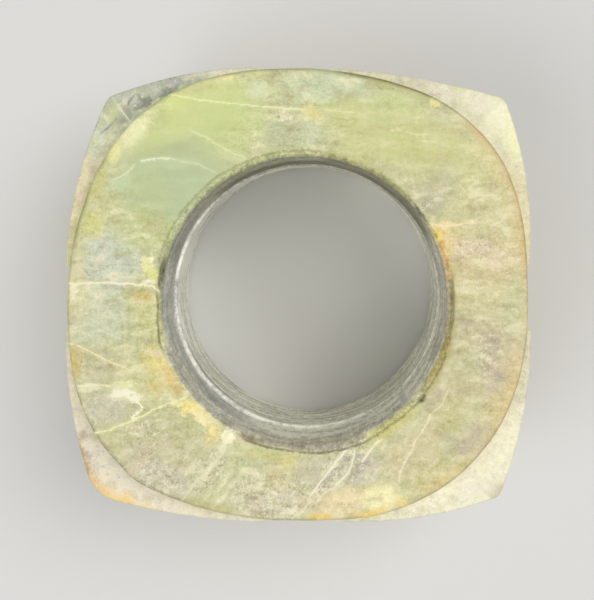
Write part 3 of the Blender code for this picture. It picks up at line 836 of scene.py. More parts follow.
# Shoulders and sides
TURNS_OUTER = (0.3, 0.6)  # how weathered the stone is where their colours take over from the face's
PATCHES_HOLD = 1.0  # how far below the shoulder its patches hold, before they fade down the sides
SHOULDER_BASE = (238, 234, 205)
SHOULDER_STAINS = table(Stain,
    (-30, 37, 14, 8, 25, (192, 200, 176), 0.95),  # grey-green at the upper left
    (-37, 31, 3, 5, -20, (206, 211, 176), 0.9),
    (-40, 24, 3, 5, -20, (222, 214, 182), 0.9),
    (-43, 12, 3, 12, 0, (226, 218, 172), 0.9),
    (-24, 40.6, 6, 2, 12, (178, 180, 170), 0.8),
    (24, 41, 6, 2, -12, (236, 230, 208), 0.8),
    (38, 33, 10, 10, 0, (246, 243, 210), 0.9),
    (43, 12, 3, 14, 0, (248, 240, 200), 0.9),
    (36, -33, 14, 14, 0, (250, 245, 216), 0.9),
    (-36, -34, 12, 12, 0, (243, 234, 216), 0.95),
    (-41, -22, 3, 9, 10, (236, 228, 204), 0.9),
    (-20, -41, 12, 3, -8, (244, 236, 212), 0.9),
)
SIDE_SWELLS = (17.0, 6.0)  # how wide the broad and the near drifts of the sides' colours are
SIDE_FADE = 0.35  # over how much of a drift a colour comes up

# What shows through on the sides: colour, strength, how it follows the broad and the near drift, and how
# much more of it there is
SIDE_TINTS = (
    ((198, 206, 158), 0.8, 1.0, 0.5, 0.0),  # jade
    ((214, 204, 168), 0.6, -0.6, 1.0, 0.0),  # clay
    ((226, 204, 142), 0.6, -1.0, -0.5, -0.12),  # amber
)
SHOULDER_PATCHES = table(Stain,
    (-29.6, 37.2, 2.4, 1, 32, (122, 126, 112), 0.9, 0.7),  # grey marbling at the upper left
    (-25.2, 39.4, 2, 0.8, 26, (134, 138, 126), 0.8, 0.7),
    (-33, 34.4, 1.6, 1.1, 45, (146, 150, 134), 0.8, 0.7),
    (-34.2, 37.4, 0.9, 0.7, 0, (136, 140, 124), 0.8, 0.7),
    (-31.6, 37.6, 1, 0.8, 0, (206, 210, 196), 0.9, 0.7),
    (-27.6, 40.2, 1.4, 0.6, 20, (208, 212, 192), 0.9, 0.7),
    (-33.6, 39.2, 1.6, 0.5, 22, (200, 204, 188), 0.8, 0.7),
    (-24.2, 41.2, 1.8, 0.5, 14, (190, 195, 186), 0.8, 0.7),
    (-35.8, 35.2, 1.3, 2.2, -15, (202, 210, 150), 0.95, 0.7),
    (-38.2, 31.2, 1.2, 1.8, -15, (208, 214, 192), 0.9, 0.7),
    (-39.6, 27.6, 0.9, 1.8, -14, (204, 214, 180), 0.8, 0.7),
    (-41, 23.6, 0.8, 2.4, -14, (236, 226, 184), 0.9, 0.7),
    (-41.9, 19, 0.7, 2, -12, (238, 216, 194), 0.8, 0.7),
    (27.6, 38.9, 2.6, 1.2, -30, (250, 244, 222), 0.8),
    (30.6, 40.4, 2, 0.5, -14, (232, 226, 166), 0.7),
    (24, 41, 3, 0.6, -10, (216, 208, 184), 0.6),
    (39.6, 38.2, 1.2, 0.7, -40, (222, 212, 156), 0.8),
    (41.5, 30.5, 1.8, 5.2, 14, (255, 253, 206), 0.95),
    (34.7, 36.6, 2.4, 1.6, -40, (252, 243, 220), 0.8),
    (38, 33, 2.2, 3.4, -30, (255, 253, 218), 0.9),
    (33.7, -36.7, 3, 1.6, 40, (248, 238, 220), 0.7),
    (40.3, -31, 1.2, 4.7, -14, (252, 248, 214), 0.6),
    (38.8, -38.2, 1.8, 0.7, 50, (206, 196, 158), 0.7),
    (-42, -30.4, 0.9, 2.6, 12, (186, 150, 92), 0.95, 1),  # orange weathering on the lower left corner
    (-41.1, -33.9, 1.1, 2.6, 20, (200, 154, 84), 0.95, 1),
    (-39.2, -36.4, 2.6, 1.6, -45, (238, 196, 112), 0.95, 1.2),
    (-37, -38.2, 3, 1.5, -32, (250, 208, 118), 0.95, 1.2),
    (-33.8, -39.5, 3.2, 1.2, -22, (250, 216, 136), 0.9, 1.2),
    (-30, -40.6, 2.8, 0.9, -15, (248, 222, 160), 0.8, 1.2),
    (-35.6, -35.1, 1.2, 0.8, -40, (206, 194, 194), 0.5),
    (-39.1, -30.4, 0.6, 0.9, 0, (198, 190, 180), 0.6),
    (-37.9, -33.2, 0.9, 0.6, -50, (202, 192, 182), 0.6),
    (-41.6, -27.2, 0.5, 1.2, 10, (160, 148, 112), 0.7, 1.1),
)

# Bore: across is height here, and the ends fade out over more degrees. Some bands paint the bore's light and
# shade.
BORE_TAPER = 22.0
BORE_BASE = (240, 240, 226)
BORE_BANDS_AND_PAINTED_LIGHT = table(Arc,
    (31.8, 42, 168, 248, (184, 188, 180), 0.8),
    (41, 50, 196, 246, (212, 206, 190), 0.8, 1.2),
    (41, 50, 168, 196, (184, 188, 180), 0.8, 1.2),
    (42, 50, 246, 292, (206, 198, 168), 0.6, 1.3),
    # Painted shade: the wall is painted darker where it faces away from the light, in this band and the next
    # three
    (42, 49, 26, 90, (110, 103, 50), 0.9, 1.4),  # dark olive where the wall faces away from the light
    (31, 42.5, 20, 136, (86, 82, 48), 0.95, 1.3),
    (22, 31, 20, 84, (160, 158, 146), 0.7),
    (38, 49, 84, 140, (128, 132, 92), 0.85, 1.5),
    (32, 46, 130, 172, (134, 138, 128), 0.75, 1.3),
    (34, 48, 334, 384, (158, 150, 134), 0.6, 1.3),
    # Painted light: near white where the light falls on the lower wall at the left, in this band and the
    # next
    (24, 31.9, 104, 203, (255, 255, 250), 1),
    (0, 25, 100, 208, (244, 246, 238), 0.9),
    # Painted shade: the lower wall greyer away from its lit left side
    (0, 25, 208, 236, (206, 208, 192), 0.8),
    # Painted highlight: the ledge's bright line where it catches the light
    (30.4, 31.9, 203, 237, (255, 255, 248), 1),
    # Painted shadow: the thin dark line just under the ledge
    (27.4, 29.6, 203, 236, (124, 126, 114), 0.8),
    # Painted highlight along the ledge, fading towards the bottom, in this band and the next
    (28, 32.4, 237, 252, (240, 240, 228), 0.7),
    (30.6, 31.9, 252, 290, (232, 232, 218), 0.6),
    # Painted shade: the lower wall darker at the bottom and the right, in this band and the next
    (0, 29, 252, 330, (206, 204, 190), 0.5),
    (0, 30, 334, 380, (196, 194, 182), 0.6),
)

# Thin lines in the stone: the points that each runs through, half its width, colour and strength
Vein = collections.namedtuple("Vein", "course width colour amount")
VEINS = table(Vein,
    (((-24, 38.1), (-16, 36.6), (-8, 35.9), (0.5, 35.1)), 0.17, (240, 246, 186), 0.9),
    (((-19.8, 31), (-17.4, 30.2), (-15.2, 28.5), (-10.4, 26.2)), 0.15, (232, 240, 180), 0.75),
    (((-29.2, 25.6), (-26, 26), (-23, 25.8)), 0.18, (240, 246, 212), 0.9),
    (((-22.5, 25.6), (-19, 24.8), (-15.6, 23.4)), 0.12, (218, 228, 180), 0.7),
    (((-34.6, 21.9), (-32.4, 23.2), (-31, 24.6)), 0.16, (232, 238, 196), 0.7),
    (((-43.6, 2.4), (-38, 2.5), (-31, 2.3), (-27.6, 2), (-26.2, 0.9)), 0.2, (252, 244, 208), 0.95),
    (((-43.4, -8.8), (-40, -9.9), (-37.4, -11.5), (-35, -12.6), (-31.6, -13.8)), 0.16, (244, 234, 178), 0.9),
    (
        ((-38.4, -25.9), (-35.4, -25.2), (-31.6, -23.7), (-26, -21), (-21.2, -19.1)),
        0.2, (246, 242, 186), 0.95,
    ),
    (((-41.2, -16.9), (-38.4, -16.7), (-35.4, -17)), 0.2, (246, 242, 200), 0.8),
    (
        ((-34.6, -18.8), (-32.4, -18.8), (-30.4, -19.5), (-29.3, -21.2), (-31, -22.8)),
        0.3, (252, 248, 214), 1,
    ),
    (((-37.4, -6.4), (-34.8, -7.5), (-32.8, -8.2)), 0.14, (228, 232, 206), 0.7),
    (((-31.8, -33.4), (-30.6, -31.8), (-28.2, -30.4), (-24.4, -27.8)), 0.15, (222, 208, 166), 0.8),
    (((-13, -28.4), (-15.6, -31.4), (-19.4, -35.4), (-21.6, -38.2)), 0.2, (234, 232, 192), 0.6),
    (((9.4, -28.8), (7.4, -31), (4.8, -34.4), (2.6, -37.2)), 0.2, (252, 246, 218), 0.95),
    (((10.7, -29.4), (10.4, -31.6), (9.7, -33.2), (7.4, -35.4)), 0.18, (252, 246, 218), 0.9),
    (((6.4, -36.4), (4.8, -37.4), (3.6, -38.8)), 0.16, (250, 238, 214), 0.6),
    (((15.3, -27.4), (13.8, -28.8), (12.4, -30.8)), 0.25, (252, 244, 204), 0.95),
    (((28.4, -17.6), (27.4, -20.2), (25.6, -22)), 0.14, (246, 234, 204), 0.6),
    (((25, -22.6), (23.6, -25.2), (21.4, -29.2), (19.6, -32.6), (19.2, -34.4)), 0.18, (248, 238, 200), 0.85),
    (((22.4, -23.6), (21.2, -25.6), (20.2, -27.8)), 0.13, (232, 226, 180), 0.5),
    (((2.4, -38.6), (1.2, -40), (0.4, -41.8)), 0.14, (250, 238, 208), 0.6),
    (((25.2, 13.6), (28.4, 13.2), (32.6, 13.7)), 0.2, (250, 234, 186), 0.8),
    (((5.4, 35.2), (8, 34.8), (11.4, 34.5)), 0.13, (232, 234, 176), 0.8),
    (((17.6, 31.3), (19.4, 31.2)), 0.12, (236, 232, 178), 0.8),
    (((20.6, 30.9), (22.6, 30.6), (24.2, 30.6)), 0.13, (236, 232, 178), 0.8),
    (((23.4, 29.3), (25.6, 29.1)), 0.12, (238, 236, 184), 0.8),
    (((6.4, 33.6), (9, 33.3), (11, 33.4)), 0.12, (186, 182, 122), 0.6),
    (((14, 32), (17, 31.6), (19.6, 32.1)), 0.14, (196, 190, 130), 0.6),
    (((31, 20.4), (31.8, 19.6), (33.6, 21.4)), 0.16, (238, 234, 192), 0.6),
    (((-35.4, 37.4), (-33.6, 34.8), (-31.6, 32)), 0.2, (224, 228, 198), 0.9),  # scratches on the shoulder
    (((-37.6, 31.6), (-35, 34), (-31.8, 38.4)), 0.14, (104, 108, 92), 0.7),
    (((29.4, -4.6), (31, -4.2), (32.8, -4.8)), 0.13, (160, 142, 110), 0.5),
    (((30.4, -17.6), (32.8, -17), (35.4, -15.4)), 0.13, (172, 154, 126), 0.3),
)
VEIN_REACH = 1.3  # how far from a vein's middle its attributes still say anything
VEIN_FADE = 0.8  # from where they fade out
VEIN_END = 1.0  # over how far a vein fades out past its end
VEINS_APART = (0.1, 0.4)  # two veins fade where they come closer together than this, as a share

# Where the stone is clear, where it is coarse, and where its streaks slant
CLEAR = table(Oval,
    (-23, 24, 13, 11, 0, 0.85),
    (-18, 34, 12, 6, 20, 0.8),
    (20, 30, 15, 7, -25, 0.55),
    (27, -22, 10, 6, 50, 0.4),
    (38, 36, 10, 12, 0, 0.3),
    (39, -36, 10, 12, 0, 0.3),
)
COARSE = table(Oval,
    (-32, 38, 10, 6, 35, 0.4),
    (-4, -37.5, 10, 5, 0, 1),
    (-2.5, 34.8, 3.5, 2.2, 0, 0.9),
    (-17, -33, 3, 6, -35, 0.8),
    (-26, -34, 7, 4, -30, 0.7),
    (-37, -20, 6, 7, 0, 0.5),
    (-37, 6, 6, 6, 0, 0.5),
    (33, 9, 5, 3, 0, 0.7),
    (36, -11, 3.5, 6, 0, 0.55),
    (27, -22, 4, 6, -20, 0.8),
    (9, -32, 7, 4, 45, 0.9),
    (-29, -27, 6, 5, 0, 0.6),
    (-38, -33, 6, 9, 40, 0.45),
    (25, 17.5, 3, 2.5, 0, 0.6),
)
SLANTED = table(Oval,
    (-17, -34, 9, 6, -30, 1),
    (7, -34, 10, 6, 10, 0.7),
    (23, -28, 9, 6, 45, 0.5),
    (-29, -29, 8, 5, -45, 0.5),
)
OVAL_FADE = (0.5, 1.3)  # from where to where these fade, as shares of an oval's reach
MOUTH_MOTTLED = 1.5
MOUTH_MOTTLED_DEPTHS = (0.2, 1.2)  # how far past the mouth's edge it starts, and is there fully
SIDE_MOTTLED = 0.8
DEEP_BORE_MOTTLED = 0.45
HIGH_BORE_MOTTLED_MORE = 0.5
BORE_MOTTLED_HEIGHTS = (34.0, 44.0)

# The thin dark line round the mouth: from and to in degrees, and how strong
MOUTH_LINES = ((-18, 12, 0.55), (84, 166, 0.4), (176, 199, 0.75), (246, 296, 0.8), (296, 342, 0.6))
LINE_TAPER = 6.0  # how many degrees a line takes to end

# How the painted edges wander: how wide the swells are, how far they move an edge, and where in the noise
GROUND_WANDERS = ((9.0, 2.4, (0.0, 0.0, 0.0)), (3.0, 1.0, (4.0, 1.0, 6.0)))
PATCH_WANDER = (2.6, 0.9, (5.0, 9.0, 2.0))
VEIN_WANDER = (2.0, 0.2, (1.0, 2.0, 3.0))
BORE_SWAY = 0.3  # the share of a patch's wandering that moves the bore's bands up and down

# The shader's noises: how fine for each millimetre, along X, Y and Z where they are drawn out, how many
# layers, how rough, and for some where in the noise
GRAIN = (0.9, 4.0, 0.95)
CLOUD = (0.42, 4.0, 0.6)
LEVEL_STREAKS = ((0.17, 0.4, 0.4), 5.0, 0.6)
DRILL_STREAKS = ((0.08, 0.08, 0.3), 5.0, 0.7, (3.0, 5.0, 1.0))
DRILL_SPECKS = ((0.9, 0.9, 0.4), 4.0, 0.9)
MOUTH_RUNS = ((0.8, 0.8, 0.07), 4.0, 0.85, (7.0, 2.0, 5.0))
SLANT_STREAKS = (1.0, 5.0, 0.7)
SLANT_ALONG = (0.63, 0.78)  # which way the slanting streaks run in plan
SLANT_ALONG_SCALE = 0.2
SLANT_ACROSS_SCALE = 0.6
NOISE_SPAN = (0.3, 0.7)  # nearly all the values of a noise are between these
BUMP_DEPTH = 0.1
BUMP_STRENGTH = 0.3
POLISH = (0.5, 0.32)  # the roughness, which changes with the clouds
WEATHERED_ROUGHNESS = 0.16  # more on the shoulders and sides

# Colours that the shader adds
DARK_STREAK = (176, 162, 122)
PALE_STREAK = (249, 242, 200)
OLIVE_CLOUD = (190, 186, 130)
GREY_CLOUD = (226, 213, 176)
DARK_CRACK = (140, 130, 100)
PALE_CRACK = (250, 246, 222)
PIT = (132, 122, 98)
CRUMB = (252, 248, 220)
MOUTH_DIRT = (104, 94, 56)
# Darker colour laid in the carved hollows, most just inside their edges
CARVING_DARK = (142, 128, 88)


def off_oval(place, oval):
    """How far each place in plan is from an oval's middle, as a share of its reach that way."""
    turn = math.radians(oval.turn)
    x, y = place[:, 0] - oval.x, place[:, 1] - oval.y
    along = (x * math.cos(turn) + y * math.sin(turn)) / oval.long
    across = (y * math.cos(turn) - x * math.sin(turn)) / oval.short
    return np.hypot(along, across)


def lay_stains(colour, place, stains):
    """Lays each stain over the colour in turn, soft at its edge."""
    for stain in stains:
        soft = smooth(1 - stain.edge / 2, 1 + stain.edge / 2, off_oval(place, stain))
        colour = blend(colour, np.array(stain.colour), stain.amount * (1 - soft))
    return colour


def within(place, ovals):
    """How much each place is inside any of the ovals, from 0 to 1."""
    return np.max([oval.amount * (1 - smooth(*OVAL_FADE, off_oval(place, oval))) for oval in ovals], axis=0)


def degrees_round(place):
    """Where each place is round the bore."""
    return np.degrees(np.arctan2(place[:, 1] - BORE_Y, place[:, 0] - BORE_X))


def inside_arc(degrees, start, end):
    """How many degrees each place is inside an arc, less than 0 outside it."""
    middle = (start + end) / 2
    off = np.abs((degrees - middle + 180) % 360 - 180)
    return (end - start) / 2 - off


class Patches:
    """Smaller stains, kept apart from the ground, so that the shader can make their edges ragged.

    The field is 0.5 on a patch's edge and rises inwards. Each list starts with a faint grey and a usual
    edge, for where there is no patch.
    """

    def __init__(self, count):
        self.field = np.zeros(count)
        self.weight = np.full(count, FAINT)
        self.colour = np.full((count, 3), 200.0) * FAINT
        self.amount = np.zeros(count)
        self.edge = np.full(count, 0.9) * FAINT

    def add(self, field, colour, amount, edge):
        field = np.clip(field, 0, 1)
        weight = field ** 6
        self.weight = self.weight + weight
        self.colour = self.colour + weight[:, None] * np.array(colour)
        self.amount = self.amount + weight * amount
        self.edge = self.edge + weight * edge
        self.field = np.maximum(self.field, field)

    def add_stains(self, place, stains):
        for stain in stains:
            self.add(1 - off_oval(place, stain) / 2, stain.colour, stain.amount, stain.edge)

    def add_arcs(self, degrees, across, arcs, taper=ARC_TAPER):
        for arc in arcs:
            along = 0.5 + inside_arc(degrees, arc.start, arc.end) / (2 * taper)
            inside = np.minimum(across - arc.low, arc.high - across)
            slope = max(BAND_SLOPE, (arc.high - arc.low) / 2)
            self.add(np.minimum(along, 0.5 + inside / slope), arc.colour, arc.amount, arc.edge)

    def result(self):
        colour = self.colour / self.weight[:, None]
        return self.field, colour, self.amount / self.weight, self.edge / self.weight


def wander(place, size, reach, offset):
    """Places moved a little this way and that, so that what is drawn there gets a natural edge."""
    drift = np.array([noise.noise_vector(Vector(p / size) + Vector(offset)) for p in place])
    return place + reach * drift


def all_over(colour, count):
    return np.tile(np.array(colour, float), (count, 1))


def zone_paint(points, rim, mouth):
    """The ground colour and the patches of each zone, had every point been in it."""
    soft = points
    for swell in GROUND_WANDERS:
        soft = wander(soft, *swell)
    loose = wander(points, *PATCH_WANDER)
    degrees = degrees_round(loose)
    count = len(points)
    face, outer, walls = Patches(count), Patches(count), Patches(count)
    face.add_stains(loose, FACE_PATCHES)
    face.add_arcs(degrees, rim, RIM_ARCS)
    face.add_arcs(degrees, mouth, MOUTH_BANDS_AND_PAINTED_SHADE)
    outer.add_stains(loose, SHOULDER_PATCHES)
    walls.add_arcs(degrees, mouth, MOUTH_BANDS_AND_PAINTED_SHADE)
    walls.add_arcs(degrees, points[:, 2] + BORE_SWAY * (loose - points)[:, 0], BORE_BANDS_AND_PAINTED_LIGHT, BORE_TAPER)
    face_ground = lay_stains(all_over(FACE_BASE, count), soft, FACE_TINTS)
    outer_ground = lay_stains(all_over(SHOULDER_BASE, count), soft, SHOULDER_STAINS)
    return (face_ground, face), (outer_ground, outer), (all_over(BORE_BASE, count), walls)


def side_tints(places, ground):
    """The weathered sides: cream over jade, which shows green or amber where the stone swells and dips."""
    broad, near = (drifting(places, size, (size, 0.0, 0.0)) for size in SIDE_SWELLS)
    for colour, amount, follows_broad, follows_near, more in SIDE_TINTS:
        field = follows_broad * broad + follows_near * near + more
        ground = blend(ground, np.array(colour), amount * smooth(0.0, SIDE_FADE, field))
    return ground


def beside_vein(place, vein):
    """How far each place is from the vein's course, how far across it, and how far beyond its ends."""
    nearest, signed, beyond = np.full((3, len(place)), FAR)
    course = np.array(vein.course)
    last = len(course) - 2
    for number in range(last + 1):
        run = course[number + 1] - course[number]
        length = np.linalg.norm(run)
        run = run / length
        from_start = place[:, :2] - course[number]
        along = from_start @ run
        across = from_start[:, 1] * run[0] - from_start[:, 0] * run[1]
        past = np.maximum(np.maximum(-along, along - length), 0.0)
        off = np.hypot(across, past)
        closer = off < nearest
        at_end = ((number == 0) & (along < 0)) | ((number == last) & (along > length))
        nearest = np.where(closer, off, nearest)
        signed = np.where(closer, np.where(at_end, across, np.copysign(off, across)), signed)
        beyond = np.where(closer, np.where(at_end, past, 0.0), beyond)
    return nearest, signed, beyond


def vein_paint(place):
    """The nearest vein at each place: how far across it, half its width, its colour and its strength."""
    count = len(place)
    nearest, second = np.full((2, count), FAR)
    result = {
        "vein_across": np.full(count, FAR),
        "vein_width": np.full(count, 0.2),
        "vein": np.full((count, 3), 240.0),
        "vein_amount": np.zeros(count),
    }
    for vein in VEINS:
        off, across, beyond = beside_vein(place, vein)
        closer = off < nearest
        second = np.where(closer, nearest, np.minimum(second, off))
        nearest = np.where(closer, off, nearest)
        faded = smooth(VEIN_FADE, VEIN_REACH, np.abs(across))
        amount = vein.amount * (1 - smooth(0.0, VEIN_END, beyond)) * (1 - faded)
        drawn = (across, np.full(count, vein.width), all_over(vein.colour, count), amount)
        for key, values in zip(result, drawn):
            chosen = closer[:, None] if values.ndim == 2 else closer
            result[key] = np.where(chosen, values, result[key])
    apart = (second - nearest) / np.maximum(second + nearest, FAINT)
    result["vein_amount"] = result["vein_amount"] * smooth(*VEINS_APART, apart)
    result["vein_across"] = np.clip(result["vein_across"], -VEIN_REACH, VEIN_REACH)
    return result


def paint(points, marks):
    """Colours for the mesh's points: ground, patches, veins, lines, and what grain the stone has where."""
    flat = {name: values.reshape(-1) for name, values in marks.items()}
    places = points.reshape(-1, 3)
    height = places[:, 2]
    face, outer, walls = zone_paint(places, flat["rim"], flat["mouth"])
    outside = smooth(*TURNS_OUTER, np.maximum(flat["shoulder"], flat["side"]))
    inside = flat["bore"]
    outer = (blend(outer[0], side_tints(places, outer[0]), flat["side"]), outer[1])

    def choose(first, second, third):
        return blend(blend(first, third, inside), second, outside)

    ground = choose(face[0], outer[0], walls[0])
    results = zip(*(patches.result() for _, patches in (face, outer, walls)))
    field, colour, amount, edge = (choose(*parts) for parts in results)
    down_the_side = smooth(BODY_FOOT - PATCHES_HOLD, BODY_TOP - PATCHES_HOLD, height)
    veins = vein_paint(wander(places, *VEIN_WANDER))
    mottled = (1 - within(places, CLEAR)) * (1 + within(places, COARSE))
    mottled = np.maximum(mottled, MOUTH_MOTTLED * smooth(*MOUTH_MOTTLED_DEPTHS, -flat["mouth"]))
    higher = HIGH_BORE_MOTTLED_MORE * smooth(*BORE_MOTTLED_HEIGHTS, height)
    mottled = blend(mottled, DEEP_BORE_MOTTLED + higher, inside)
    degrees = degrees_round(places)
    lines = [
        smooth(-LINE_TAPER / 2, LINE_TAPER / 2, inside_arc(degrees, start, end)) * strength
        for start, end, strength in MOUTH_LINES
    ]
    return {
        "ground": to_linear(ground),
        "patch": to_linear(colour),
        "patch_field": field,
        "patch_amount": amount * blend(1.0, down_the_side, flat["side"]),
        "patch_edge": edge,
        "vein_across": veins["vein_across"],
        "vein_width": veins["vein_width"],
        "vein": to_linear(veins["vein"]),
        "vein_amount": veins["vein_amount"] * ((1 - flat["side"]) * (1 - inside)),
        "mouth_line": np.max(lines, axis=0),
        "mottled": blend(mottled, SIDE_MOTTLED, flat["side"]),
        "slanted": within(places, SLANTED) * ((1 - outside) * (1 - inside)),
    }


def to_linear(colours):
    """Colours in the usual 0 to 255 as the linear colours, with an alpha of 1, that a shader takes."""
    share = np.asarray(colours) / 255
    level = np.where(share <= 0.04045, share / 12.92, ((share + 0.055) / 1.055) ** 2.4)
    return np.column_stack((level, np.ones(len(level))))


class Graph:
    """Adds shader nodes. Each call gives back the new node's output."""

    def __init__(self, tree):
        self.tree = tree

    def node(self, kind, values, output=0, **settings):
        node = self.tree.nodes.new(kind)
        for name, setting in settings.items():
            setattr(node, name, setting)
        for key, value in values.items():
            if isinstance(value, bpy.types.NodeSocket):
                self.tree.links.new(value, node.inputs[key])
            else:
                node.inputs[key].default_value = value
        return node.outputs[output]

    def math(self, operation, first, second=0.0):
        return self.node("ShaderNodeMath", {0: first, 1: second}, operation=operation)

    def product(self, *values):
        result = values[0]
        for value in values[1:]:
            result = self.math("MULTIPLY", result, value)
        return result

    def dot(self, vector, direction):
        return self.node("ShaderNodeVectorMath", {0: vector, 1: direction}, "Value", operation="DOT_PRODUCT")

    def noise(self, place, scale, detail, roughness):
        values = {"Vector": place, "Scale": scale, "Detail": detail, "Roughness": roughness}
        return self.node("ShaderNodeTexNoise", values, "Fac")

    def drawn_out(self, place, stretch, detail, roughness, offset=(0.0, 0.0, 0.0)):
        """A noise that is finer along some axes than along others."""
        values = {0: place, 1: stretch, 2: offset}
        moved = self.node("ShaderNodeVectorMath", values, operation="MULTIPLY_ADD")
        return self.noise(moved, 1.0, detail, roughness)

    def ramp(self, value, low, high, first=0.0, last=1.0):
        """Smoothly from the first to the last value as the input goes from low to high, in either order."""
        values = {"Value": value, "From Min": low, "From Max": high, "To Min": first, "To Max": last}
        return self.node("ShaderNodeMapRange", values, interpolation_type="SMOOTHSTEP")

    def ridge(self, value, middle, width, amount):
        """The amount where the value is close to the middle, and 0 elsewhere: thin lines in a noise."""
        off = self.math("ABSOLUTE", self.math("SUBTRACT", value, middle))
        return self.ramp(off, width, 0.0, 0.0, amount)

    def mix(self, first, second, share, mode="MIX"):
        values = {0: share, 6: first, 7: second}
        return self.node("ShaderNodeMix", values, 2, data_type="RGBA", blend_type=mode)

    def tint(self, colour, added, *shares):
        """Lays a plain colour over what is there, as strongly as the shares together say."""
        return self.mix(colour, tuple(to_linear([added])[0]), self.product(*shares))

    def mark(self, name, output="Fac"):
        return self.node("ShaderNodeAttribute", {}, output, attribute_name=name)


def add_patches(graph, colour, grain):
    """Lays the patches. The softer a patch's edge, the more ragged the grain makes it."""
    edge = graph.mark("patch_edge")
    ragged = graph.product(graph.ramp(grain, *NOISE_SPAN, -0.2, 0.2), edge, graph.mark("mottled"))
    softness = graph.math("MULTIPLY", edge, 0.25)
    field = graph.math("ADD", graph.mark("patch_field"), ragged)
    low, high = graph.math("SUBTRACT", 0.5, softness), graph.math("ADD", 0.5, softness)
    patch = graph.product(graph.ramp(field, low, high), graph.mark("patch_amount"))
    return graph.mix(colour, graph.mark("patch", "Color"), patch)


def add_veins(graph, colour, cloud, grain):
    """Lays the thin veins, a little wandering and of uneven width and strength."""
    slow, quick = graph.ramp(cloud, 0.25, 0.75, -0.1, 0.1), graph.ramp(grain, *NOISE_SPAN, -0.09, 0.09)
    across = graph.math("ADD", graph.mark("vein_across"), graph.math("ADD", slow, quick))
    width = graph.math("MULTIPLY", graph.mark("vein_width"), graph.ramp(grain, 0.4, 0.62, 0.1, 1.8))
    off = graph.math("ABSOLUTE", across)
    line = graph.ramp(off, graph.math("ADD", width, 0.12), graph.math("MULTIPLY", width, 0.4))
    halo = graph.ramp(off, 0.9, 0.1, 0.0, 0.18)
    share = graph.product(graph.math("MAXIMUM", line, halo), graph.mark("vein_amount"))
    return graph.mix(colour, graph.mark("vein", "Color"), share)


def add_mottling(graph, colour, here, cloud):
    """Streaks, level or slanting, over green and grey clouds, stronger where the stone isn't clear."""
    mottled, weathered = graph.mark("mottled"), graph.mark("shoulder")
    level = graph.drawn_out(here, *LEVEL_STREAKS)
    x, y = SLANT_ALONG
    along = graph.dot(here, (SLANT_ALONG_SCALE * x, SLANT_ALONG_SCALE * y, 0.0))
    across = graph.dot(here, (SLANT_ACROSS_SCALE * y, -SLANT_ACROSS_SCALE * x, 0.0))
    slant = graph.noise(graph.node("ShaderNodeCombineXYZ", {0: along, 1: across, 2: 3.0}), *SLANT_STREAKS)
    turned = graph.math("MULTIPLY", graph.math("SUBTRACT", slant, level), graph.mark("slanted"))
    marbled = graph.math("MULTIPLY", graph.math("SUBTRACT", cloud, level), weathered)
    streaks = graph.math("ADD", graph.math("ADD", level, turned), marbled)
    fewer = graph.ramp(weathered, 0.0, 1.0, 1.0, 0.45)
    colour = graph.tint(colour, DARK_STREAK, graph.ramp(streaks, 0.5, 0.66, 0.0, 0.5), mottled, fewer)
    colour = graph.tint(colour, PALE_STREAK, graph.ramp(streaks, 0.5, 0.36, 0.0, 0.5), mottled)
    cloudy = graph.product(mottled, graph.ramp(weathered, 0.0, 1.0, 1.0, 0.3))
    colour = graph.tint(colour, OLIVE_CLOUD, graph.ramp(cloud, 0.5, 0.68, 0.0, 0.3), cloudy)
    return graph.tint(colour, GREY_CLOUD, graph.ramp(cloud, 0.5, 0.34, 0.0, 0.35), cloudy)


def add_grain(graph, colour, cloud, grain):
    """Fine grain and short cracks, dark and pale, and pits and crumbs where the stone is crushed."""
    mottled = graph.mark("mottled")
    colour = graph.mix(colour, grain, graph.product(mottled, 0.42), "LINEAR_LIGHT")
    dark, pale = graph.ridge(cloud, 0.56, 0.01, 0.5), graph.ridge(cloud, 0.45, 0.012, 0.6)
    colour = graph.tint(colour, DARK_CRACK, dark, mottled, graph.ramp(grain, 0.48, 0.56))
    colour = graph.tint(colour, PALE_CRACK, pale, mottled, graph.ramp(grain, 0.52, 0.44))
    crushed = graph.ramp(mottled, 1.1, 1.7)
    colour = graph.tint(colour, PIT, graph.ramp(grain, 0.53, 0.61, 0.0, 0.7), crushed)
    return graph.tint(colour, CRUMB, graph.ramp(grain, 0.47, 0.4, 0.0, 0.8), crushed)


def add_mouth_line(graph, colour, grain):
    """The thin dark line round the mouth's outer edge."""
    wavy = graph.math("ADD", graph.mark("mouth"), graph.ramp(grain, *NOISE_SPAN, 0.0, 0.4))
    line = graph.ramp(graph.math("ABSOLUTE", wavy), 0.42, 0.06)
    broken = graph.ramp(grain, 0.62, 0.44, 0.5, 1.0)
    return graph.tint(colour, MOUTH_DIRT, line, graph.mark("mouth_line"), broken)


def add_drill_marks(graph, colour, here, bore):
    """Streaks round the bore, where the drill and its sand went round, and runs down over its worn mouth."""
    streaks = graph.drawn_out(here, *DRILL_STREAKS)
    specks = graph.drawn_out(here, *DRILL_SPECKS)
    colour = graph.mix(colour, graph.ramp(streaks, 0.36, 0.64, 1.32, 0.74), bore, "MULTIPLY")
    colour = graph.mix(colour, graph.ramp(specks, 0.36, 0.64, 1.3, 0.76), bore, "MULTIPLY")
    worn = graph.product(
        graph.ramp(graph.mark("mouth"), 0.1, -0.7), graph.ramp(graph.mark("mottled"), 0.5, 0.95),
        graph.ramp(bore, 0.0, 1.0, 1.0, 0.4),
    )
    runs = graph.drawn_out(here, *MOUTH_RUNS)
    return graph.mix(colour, graph.ramp(runs, 0.38, 0.62, 1.3, 0.68), worn, "MULTIPLY")


